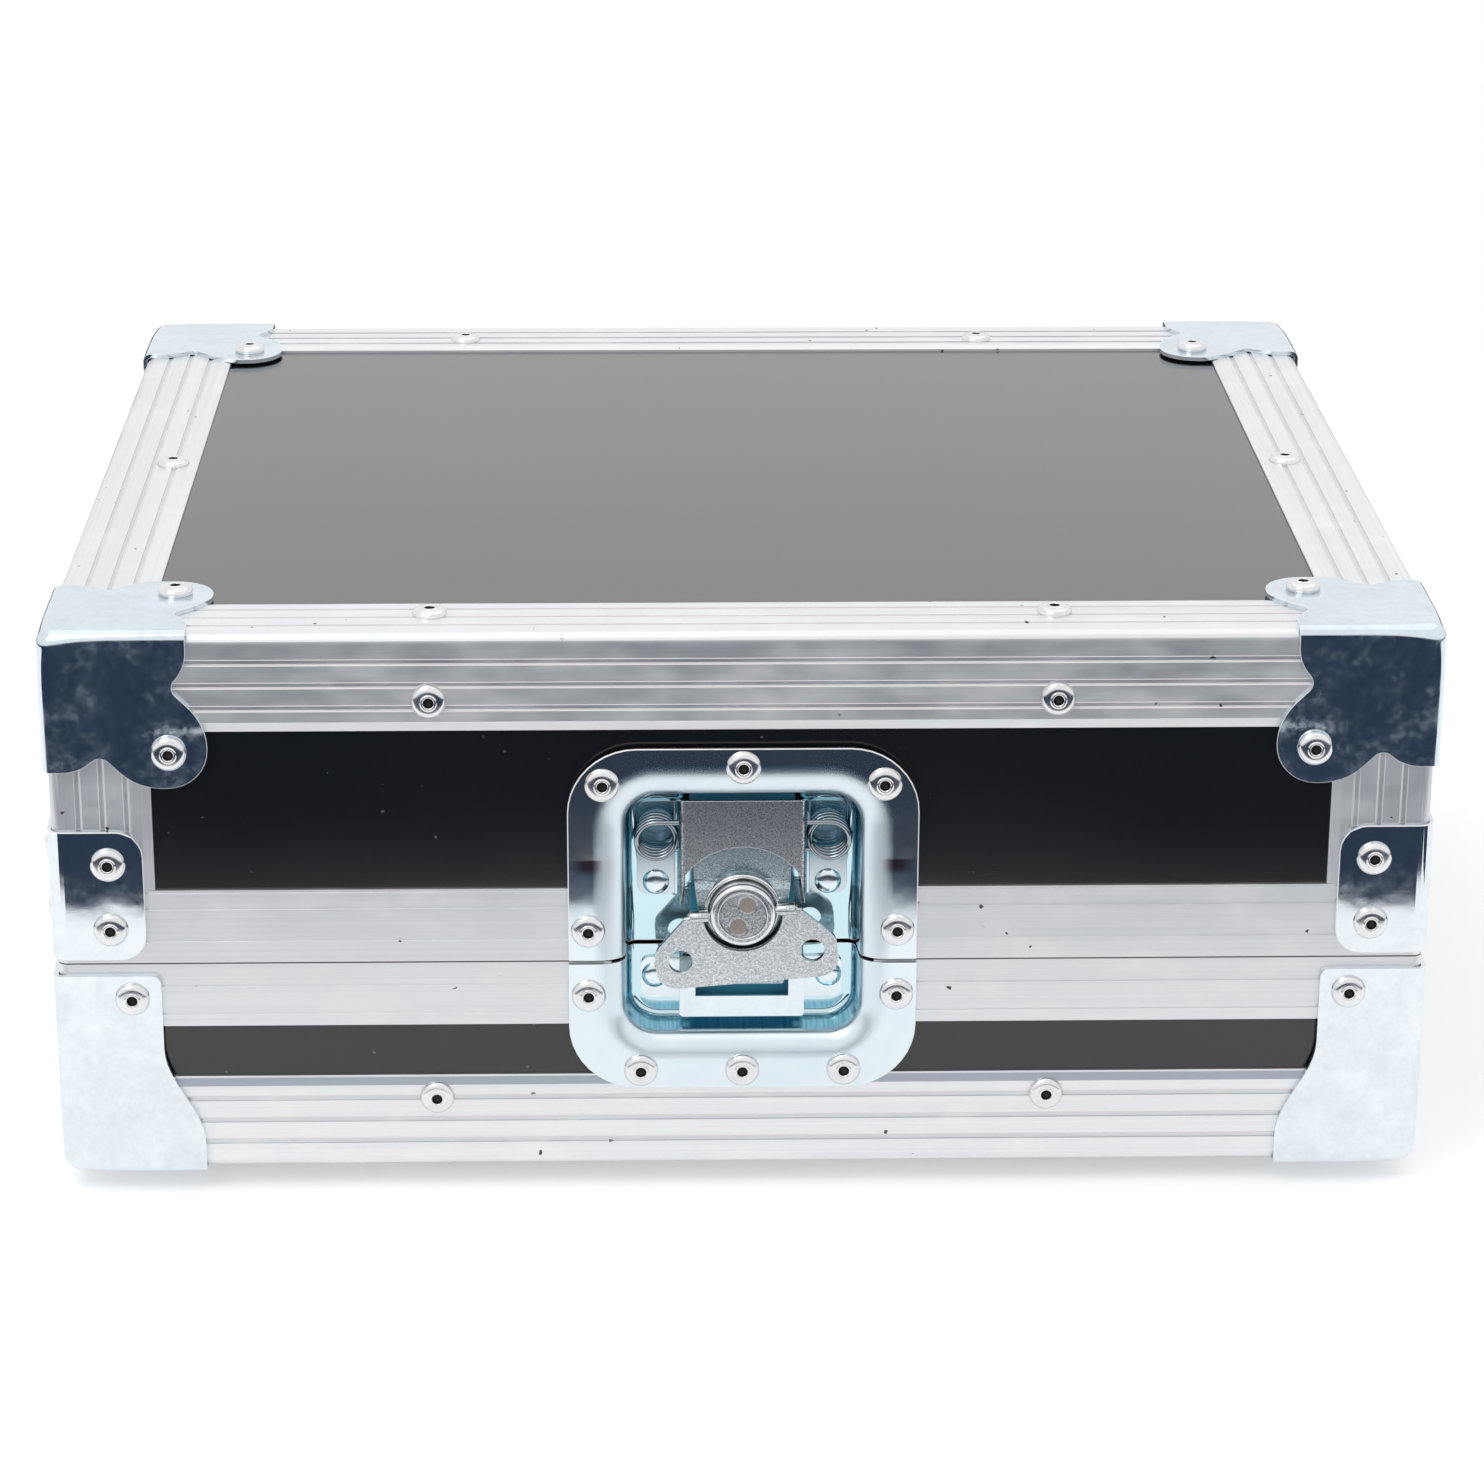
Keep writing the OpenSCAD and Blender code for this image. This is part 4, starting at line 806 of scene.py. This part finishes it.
HEAD_FLAT_SHARE = 0.85
HEAD_LONG = 5 * MM
HEAD_BEVEL = 0.3 * MM
RIM_STEPS = 8
NECK_R = 6 * MM
COLLAR_R = 8.5 * MM
COLLAR_LONG = 1.5 * MM
CAP_IN = 0.2 * MM
CAP_SEAT = 1.4 * MM
CAP_LONG = 0.9 * MM
# Section of the ring raised round the cap: distance from the cap's edge, and height
CAP_RING = [(0.5 * MM, -0.1 * MM), (0.4 * MM, 0), (0.15 * MM, 0), (0.05 * MM, -0.12 * MM)]
# How far from the cap's edge the grainy face of the head starts
FACE_START = 0.45 * MM
# Share of the cap's radius that bends at its edge, and how deep
CAP_EDGE_SHARE = 0.03
CAP_ROUNDING = 0.2 * MM
CAP_RINGS = 44
CAP_STEPS = 96
DIMPLE_R = 2.9 * MM
DIMPLE_FLOOR_R = 0.35 * MM
DIMPLE_DEPTH = 0.85 * MM
DIMPLE_OFF = 3.7 * MM
DIMPLE_TURN = math.radians(22)
DIMPLE_DULL_SHARE = 0.86
# Section of the rim on the boss: radius, and depth behind the front of the hook
BOSS_RIM = [(r * MM, y * MM) for r, y in (
    (7.5, 0.4), (11.1, 0.4), (11.35, 0.2), (11.4, 0), (11.3, -0.25), (11, -0.45), (10.5, -0.5),
    (10.1, -0.35), (9.9, -0.1), (7.5, -0.1))]


def add_spindle_head(cap):
    """Turned head with a rounded rim, round a cap of a given radius, and the neck and collar behind it."""
    head = (spindle_high.x - spindle_low.x) / 2
    back = spindle_high.y - spindle_low.y
    flat = HEAD_FLAT_SHARE * head
    collar_front = COLLAR_LONG - back
    profile = [(0, -back), (COLLAR_R, -back), (COLLAR_R, collar_front), (NECK_R, collar_front),
               (NECK_R, -HEAD_LONG), (head - HEAD_BEVEL, -HEAD_LONG), (head, -HEAD_LONG + HEAD_BEVEL)]
    profile += [(flat + (head - flat) * math.sin(a), -(head - flat) * (1 - math.cos(a)))
                for a in reversed(quarter(RIM_STEPS))]
    profile += [(cap + beyond, height) for beyond, height in CAP_RING]
    profile += [(cap + CAP_RING[-1][0], -CAP_IN - CAP_SEAT), (0, -CAP_IN - CAP_SEAT)]
    bm = bmesh.new()
    revolve(bm, profile, Vector((AXIS_X, spindle_low.y, AXIS_Z)), Vector((0, -1, 0)), CAP_STEPS,
            lambda r, h: 1 if cap + FACE_START < r < flat and h > -CAP_IN else 0)
    add_piece("spindle_head", bm, "spindle", [MATERIALS["bright_steel"], BRACKET])


def add_cap(cap, face):
    """Cap with a rounded edge and two drilled dimples."""
    step = DIMPLE_OFF * Vector((math.sin(DIMPLE_TURN), math.cos(DIMPLE_TURN)))
    centres = [-step, step]

    def depth(x, z):
        off = min((Vector((x, z)) - c).length for c in centres)
        edge = min(CAP_EDGE_SHARE, max(0, 1 - CAP_EDGE_SHARE - math.hypot(x, z) / cap))
        sunk = CAP_ROUNDING * (1 - edge / CAP_EDGE_SHARE) ** 2
        if off > DIMPLE_R:
            return sunk
        return sunk + DIMPLE_DEPTH * min(1, (DIMPLE_R - off) / (DIMPLE_R - DIMPLE_FLOOR_R)) ** 0.7

    bm = bmesh.new()
    rings = []
    for i in range(1, CAP_RINGS + 1):
        rings.append([bm.verts.new((AXIS_X + x, face + depth(x, z), AXIS_Z + z))
                      for x, z in circle(cap * i / CAP_RINGS, CAP_STEPS)])
    rings.append([bm.verts.new((v.co.x, face + CAP_LONG, v.co.z)) for v in rings[-1]])
    tip = bm.verts.new((AXIS_X, face + depth(0, 0), AXIS_Z))
    for k in range(CAP_STEPS):
        bm.faces.new((tip, rings[0][k], rings[0][(k + 1) % CAP_STEPS]))
    bridge_rings(bm, rings, True)
    bm.faces.new(rings[-1])
    for f in bm.faces:
        middle = f.calc_center_median()
        off = min((Vector((middle.x - AXIS_X, middle.z - AXIS_Z)) - c).length for c in centres)
        f.material_index = 1 if off < DIMPLE_DULL_SHARE * DIMPLE_R and len(f.verts) < 5 else 0
    add_piece("spindle_cap_face", bm, "spindle_cap", [BRACKET, DIMPLE])


def add_spindle():
    """Head and cap, in the places of their plain solids."""
    low, high = (Vector(c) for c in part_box("spindle_cap"))
    cap = (high.x - low.x) / 2
    add_spindle_head(cap)
    add_cap(cap, low.y)


def add_boss_ring():
    """Bright turned rim on the hook's bearing boss, behind the spindle's head."""
    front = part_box("hook_plate")[0][1]
    bm = bmesh.new()
    rings = [[bm.verts.new((AXIS_X + x, front + y, AXIS_Z + z)) for x, z in circle(r, CAP_STEPS)]
             for r, y in BOSS_RIM]
    bridge_rings(bm, rings + rings[:1], True)
    ride_mesh("boss_ring", bm, body_of["hook_plate"], [MATERIALS["bright_steel"]])


# Bracket

BRACKET_HALF = 18.7 * MM
BRACKET_SHEET = 1.2 * MM
BRACKET_BEND = 1.5 * MM
FLANGE_DROP = 3.5 * MM
FLANGE_CORNER = 3 * MM
ARCH_R = 20.5 * MM
FLANGE_COLUMNS = 8
CORNER_COLUMNS = 4
BEND_STEPS = 5
EAR_STEPS = 10
ARCH_STEPS = 24
BRACKET_ROWS = 10


def bracket_columns(low, high):
    """Right half of the bracket from its flange over ear and bridge to the middle, as columns of
    (x, y, bottom, top)."""
    front, back = low.y, high.y - BRACKET_SHEET
    flange_top = high.z - FLANGE_DROP
    inner = BRACKET_HALF - BRACKET_BEND
    columns = []
    for k in range(FLANGE_COLUMNS + 1):
        x = high.x - (high.x - BRACKET_HALF - BRACKET_BEND) * k / FLANGE_COLUMNS
        if k < CORNER_COLUMNS:
            x = high.x - FLANGE_CORNER * (1 - math.cos(math.pi / 2 * k / CORNER_COLUMNS))
        into_corner = max(0, x - high.x + FLANGE_CORNER)
        cut = FLANGE_CORNER - math.sqrt(max(0, FLANGE_CORNER ** 2 - into_corner ** 2))
        columns.append((x, back, low.z + cut, flange_top - cut))
    path = [(BRACKET_HALF + BRACKET_BEND * (1 - math.sin(a)), back - BRACKET_BEND * (1 - math.cos(a)))
            for a in quarter(BEND_STEPS)]
    path += [(BRACKET_HALF, back - BRACKET_BEND - (back - front - 2 * BRACKET_BEND) * k / EAR_STEPS)
             for k in range(1, EAR_STEPS)]
    path += [(BRACKET_HALF - BRACKET_BEND * (1 - math.cos(a)), front + BRACKET_BEND * (1 - math.sin(a)))
             for a in quarter(BEND_STEPS)]
    arch_end = AXIS_Z + math.sqrt(ARCH_R ** 2 - inner ** 2)
    for x, y in path:
        rise = max(0, BRACKET_HALF - x) / BRACKET_BEND
        columns.append((x, y, low.z + (arch_end - low.z) * rise,
                        flange_top + FLANGE_DROP * (back - y) / (back - front)))
    for k in range(1, ARCH_STEPS + 1):
        x = inner * (1 - k / ARCH_STEPS)
        columns.append((x, front, AXIS_Z + math.sqrt(ARCH_R ** 2 - x ** 2), high.z))
    return columns


def add_bracket():
    """Hat of bent sheet: grainy bridge with an arch over the spindle, ears and flanges beside it."""
    columns = bracket_columns(*(Vector(c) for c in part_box("latch_bracket")))
    bm = bmesh.new()
    rings = []
    for side, half in ((1, columns), (-1, columns[-2::-1])):
        for x, y, z0, z1 in half:
            rings.append([bm.verts.new((side * x, y, z0 + (z1 - z0) * k / BRACKET_ROWS))
                          for k in range(BRACKET_ROWS + 1)])
    bridge_rings(bm, rings, False)
    piece = add_piece("latch_bracket_sheet", bm, "latch_bracket", [BRACKET, BARE_EDGE_AND_HIGHLIGHT])
    add_sheet(piece, BRACKET_SHEET, piece.data.polygons[0].normal.y > 0, SHEARED_EDGE)


# Corner plates

# Lobed outline of a face: x, y and radius of its corners, in shares of the plate's reach
CORNER_SHARES = [(0, 0, 0), (1, 0, 0), (1, 0.25, 0.3), (0.87, 0.4, 0.08), (1.12, 0.65, 0.42),
                 (1.12, 1.12, 0.28), (0.65, 1.12, 0.42), (0.4, 0.87, 0.08), (0.25, 1, 0.3), (0, 1, 0)]
PLATE = 1.5 * MM
PLATE_BEND = 2.8 * MM
DOME_BEND = 5 * MM
DOME_REACH = 24 * MM
LOBE_DROP = 0.64 * MM
LOBE_REACH_SHARE = 1.12
BASE_TOP = 32.2 * MM
BASE_TOP_CORNER = 2.8 * MM
BASE_WAIST = 41.5 * MM
WAIST_START_SHARE = 0.25
WAIST_STEPS = 12
LOBE_START = 26.5 * MM
LOBE_END = 35 * MM
# Distances from the tip at which a plate is cut into cells, closest where it bends
CUTS = [v * MM for v in (0.3, 0.7, 1.1, 1.5, 1.9, 2.3, 2.8, 3.4, 4.2, 5.2, 6.4, 7.8, 9.5, 12, 16, 20, 24,
                         25.5, 27, 28, 29, 30, 31, 32, 33.5, 35)]
SLIVER = 0.03 * MM
TIP_FACE = 0.1 * MM
PLATE_EDGE = 0.5 * MM


def rounded(corners, size, steps=8):
    """Outline through corners of (x, y, radius), in shares of size."""
    points = []
    for i, (x, y, r) in enumerate(corners):
        here = Vector((x, y))
        if r == 0:
            points.append(here * size)
            continue
        u = (Vector(corners[i - 1][:2]) - here).normalized()
        v = (Vector(corners[(i + 1) % len(corners)][:2]) - here).normalized()
        half = u.angle(v) / 2
        middle = here + (u + v).normalized() * r / math.sin(half)
        start = here + u * r / math.tan(half) - middle
        turn = start.angle_signed(here + v * r / math.tan(half) - middle)
        for k in range(steps + 1):
            a = -turn * k / steps
            points.append((middle + Vector((start.x * math.cos(a) - start.y * math.sin(a),
                                            start.x * math.sin(a) + start.y * math.cos(a)))) * size)
    return points


def smooth_step(value, low, high):
    """0 below low, 1 above high, and an S curve between them."""
    share = min(1, max(0, (value - low) / (high - low)))
    return share * share * (3 - 2 * share)


def base_outline(reach, height):
    """Side of a base corner: an S curve narrows it above its foot."""
    corners = [(0, 0, 0), (reach, 0, 0)]
    for k in range(WAIST_STEPS + 1):
        share = k / WAIST_STEPS
        corners.append((reach + (BASE_TOP - reach) * (1 - math.cos(math.pi * share)) / 2,
                        BASE_WAIST * (WAIST_START_SHARE + (1 - WAIST_START_SHARE) * share), 0))
    return rounded(corners + [(BASE_TOP, height, BASE_TOP_CORNER), (0, height, 0)], 1)


def flat_corner(upright, level):
    """The faces of a corner, flat on the planes through its tip and cut into cells: two upright ones and
    a level one."""
    bm = bmesh.new()
    for axis, outline in enumerate((upright, upright, level)):
        face = []
        for u, v in outline:
            place = [u, v]
            place.insert(axis, 0)
            face.append(bm.verts.new(place))
        bm.faces.new(face)
    for cut in CUTS:
        for axis in range(3):
            bmesh.ops.bisect_plane(bm, geom=bm.verts[:] + bm.edges[:] + bm.faces[:],
                                   plane_co=[cut] * 3, plane_no=[i == axis for i in range(3)])
    return bm


def bend_corner(bm, lobe_drop):
    """Rounds the tight bends, which swell into a dome at the tip, and draws the lobes down onto the
    panels by lobe_drop."""
    for v in bm.verts:
        place = v.co.copy()
        bend = PLATE_BEND + (DOME_BEND - PLATE_BEND) * (1 - smooth_step(place.length, 0, DOME_REACH)) ** 2
        held = Vector(max(c, bend) for c in place)
        v.co = held + bend * (place - held).normalized()
        across, *along = sorted(range(3), key=lambda i: place[i])
        v.co[across] += lobe_drop * math.prod(smooth_step(place[i], LOBE_START, LOBE_END) for i in along)
    bmesh.ops.remove_doubles(bm, verts=bm.verts, dist=SLIVER)


def press_corner(name, lobe_drop, material):
    """Pressed plate in the place of a corner's plain solid."""
    low, high = (Vector(c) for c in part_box(name))
    right, back, top = "right" in name, "back" in name, name.startswith("lid")
    tip = Vector((high.x if right else low.x, high.y if back else low.y, high.z if top else low.z))
    inwards = Vector(-1 if side else 1 for side in (right, back, top))
    reach = (high.x - low.x) / LOBE_REACH_SHARE
    lobed = rounded(CORNER_SHARES, reach)
    bm = flat_corner(lobed if top else base_outline(reach, high.z - low.z), lobed)
    bend_corner(bm, lobe_drop)
    for v in bm.verts:
        v.co = tip + Vector(a * b for a, b in zip(v.co, inwards))
    piece = add_piece(name + "_plate", bm, name, [material, BARE_EDGE_AND_HIGHLIGHT])
    facing = sum(p.normal.z for p in piece.data.polygons if abs(p.center.z - tip.z) < TIP_FACE)
    add_sheet(piece, PLATE, facing * inwards.z > 0, PLATE_EDGE)


def add_corners():
    for place in ("front_left", "front_right", "back_left", "back_right"):
        press_corner("lid_corner_" + place, LOBE_DROP, HAZY_ZINC)
        press_corner("base_corner_" + place, 0, MATERIALS["corner_steel"])


# Foam lining

FOAM_CELL = 3.2 * MM
FOAM_INSET = 0.15 * MM
FOAM_WAVE = 0.5 * MM
FOAM_WAVES_PER_METRE = 40


def add_foam():
    """Cut foam with soft edges and slightly uneven faces, inside the space of its plain solid."""
    for part in record["subparts"]:
        if part["material_slot"] != "foam":
            continue
        node = nodes[part["node"]]
        mesh = node.data.copy()
        mesh.name = node.name + "_lining"
        mesh.materials.clear()
        mesh.materials.append(MATERIALS["foam"])
        lining = bpy.data.objects.new(node.name + "_lining", mesh)
        scene.collection.objects.link(lining)
        weld = lining.modifiers.new("weld", "WELD")
        weld.merge_threshold = TOUCH
        remesh = lining.modifiers.new("cells", "REMESH")
        remesh.mode = "VOXEL"
        remesh.voxel_size = FOAM_CELL
        remesh.use_smooth_shade = True
        soft = lining.modifiers.new("soft", "SMOOTH")
        soft.factor = 0.5
        soft.iterations = 4
        depsgraph = bpy.context.evaluated_depsgraph_get()
        shaped = bpy.data.meshes.new_from_object(lining.evaluated_get(depsgraph))
        normals = [v.normal.copy() for v in shaped.vertices]
        for v, normal in zip(shaped.vertices, normals):
            wave = 0.5 + 0.5 * noise.noise(v.co * FOAM_WAVES_PER_METRE)
            v.co -= normal * (FOAM_INSET + FOAM_WAVE * wave)
        lining.modifiers.clear()
        lining.data = shaped
        shaped.shade_smooth()
        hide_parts(node.name)
        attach(lining, body_of[node.name])


# Finishes of the frame's own nodes

# Width of the bevel on the sharp edges of each slot's nodes, in mm
EDGE_WIDTHS = {"laminate": 0.4, "aluminium": 0.25, "corner_steel": 0.35, "dish_steel": 0.25,
               "latch_steel": 0.3, "hinge_steel": 0.2, "bright_steel": 0.15, "foot_rubber": 0.6}
SHEARED = ("corner_steel", "dish_steel", "latch_steel")
NODE_WELD = 0.002 * MM


def drawn_axis(name):
    """The axis that an extrusion runs along."""
    if name.endswith("posts"):
        return 2
    return 1 if name.endswith("sides") else 0


def finish_nodes():
    """A material for each node, and a small bevel on its sharp edges, so that they catch the light."""
    drawn = [aluminium(axis) for axis in range(3)]
    special = {"keeper": FLAT_ZINC, "latch_bracket": BRACKET, "hook_plate": SHADED_HOOK}
    for part in record["subparts"]:
        node = nodes[part["node"]]
        slot = part["material_slot"]
        if slot == "aluminium":
            material = drawn[drawn_axis(node.name)]
        else:
            material = special.get(node.name, MATERIALS[slot])
        node.data.materials.clear()
        node.data.materials.append(material)
        if slot in EDGE_WIDTHS:
            weld = node.modifiers.new("weld", "WELD")
            weld.merge_threshold = NODE_WELD
            add_bevel(node, EDGE_WIDTHS[slot] * MM, material=1 if slot in SHEARED else -1)
        # The sheared edges get the pale edge finish, which is partly a painted highlight
        if slot in SHEARED:
            node.data.materials.append(BARE_EDGE_AND_HIGHLIGHT)


# Studio

TABLE_MARGIN = 0.241
TABLE_BOW = 0.02
TABLE_SIDE_MARGIN = 1.1
TABLE_BACK_MARGIN = 0.6
TABLE_GLOW = 0.28
ROOM_DARK = rgb(0.03, 0.048, 0.08)
ROOM_LIGHT = rgb(0.8, 0.8, 0.8)
WHITE = rgb(1, 1, 1)
# Heights of a direction between which the dark room turns white
HORIZON = (-0.1, 0.02)


def add_stage():
    """A white table that reaches a little past the case, with a white room above it and a dark one
    beyond its bowed front edge, which only reflections see."""
    high = Vector(cad_box[1])
    side = high.x + TABLE_SIDE_MARGIN
    front, back = -high.y - TABLE_MARGIN, high.y + TABLE_BACK_MARGIN
    outline = [(-side, back), (-side, front + TABLE_BOW), (-high.x, front + TABLE_BOW), (0, front),
               (high.x, front + TABLE_BOW), (side, front + TABLE_BOW), (side, back)]
    mesh = bpy.data.meshes.new("table")
    mesh.from_pydata([(x, y, 0) for x, y in outline], [], [range(len(outline))])
    table = bpy.data.objects.new("table", mesh)
    scene.collection.objects.link(table)
    s = Shader("table_white")
    path = s.add("ShaderNodeLightPath").outputs
    seen = s.math("MAXIMUM", path["Is Camera Ray"], path["Is Glossy Ray"])
    seen = s.math("MAXIMUM", seen, path["Is Transmission Ray"])
    s.set(Base_Color=rgb(0.86, 0.86, 0.86), Roughness=1.0, Specular_IOR_Level=0.0,
          Emission_Color=WHITE, Emission_Strength=s.math("MULTIPLY", seen, TABLE_GLOW))
    mesh.materials.append(s.material)


def add_world():
    """Reflections see a dark floor and white above the horizon. The object gets even light, and the
    camera sees white."""
    world = bpy.data.worlds.new("studio")
    scene.world = world
    world.use_nodes = True
    tree = world.node_tree
    tree.nodes.clear()

    def add(kind):
        return tree.nodes.new(kind)

    def blend(factor, a, b):
        """Colour between a, a colour or a socket, and the colour b."""
        mix = add("ShaderNodeMix")
        mix.data_type = "RGBA"
        tree.links.new(factor, mix.inputs[0])
        if isinstance(a, bpy.types.NodeSocket):
            tree.links.new(a, mix.inputs[6])
        else:
            mix.inputs[6].default_value = a
        mix.inputs[7].default_value = b
        return mix.outputs[2]

    parts = add("ShaderNodeSeparateXYZ")
    tree.links.new(add("ShaderNodeTexCoord").outputs["Generated"], parts.inputs[0])
    height = add("ShaderNodeMapRange")
    height.inputs["From Min"].default_value, height.inputs["From Max"].default_value = HORIZON
    tree.links.new(parts.outputs["Z"], height.inputs["Value"])
    path = add("ShaderNodeLightPath").outputs
    room = blend(height.outputs[0], ROOM_DARK, WHITE)
    lit = blend(path["Is Diffuse Ray"], room, ROOM_LIGHT)
    background = add("ShaderNodeBackground")
    tree.links.new(blend(path["Is Camera Ray"], lit, WHITE), background.inputs["Color"])
    tree.links.new(background.outputs[0], add("ShaderNodeOutputWorld").inputs["Surface"])


def add_lamp(name, place, target, size, power):
    """A rectangle of light that faces its target."""
    data = bpy.data.lights.new(name, "AREA")
    data.shape = "RECTANGLE"
    data.size, data.size_y = size
    data.energy = power
    lamp = bpy.data.objects.new(name, data)
    lamp.location = place
    lamp.rotation_euler = (Vector(target) - Vector(place)).to_track_quat("-Z", "Y").to_euler()
    scene.collection.objects.link(lamp)


add_camera()
add_stage()
add_world()
add_lamp("key", (-0.9, -1.2, 1.9), (0, 0, 0.1), (1.1, 1.1), 11)
add_lamp("overhead", (0.3, 0.5, 2.0), (0, 0, 0.1), (2.6, 2.6), 5)
scene.view_settings.view_transform = "Standard"
finish_nodes()
add_rivets()
add_dishes()
add_springs()
add_spindle()
add_boss_ring()
add_bracket()
add_corners()
add_foam()
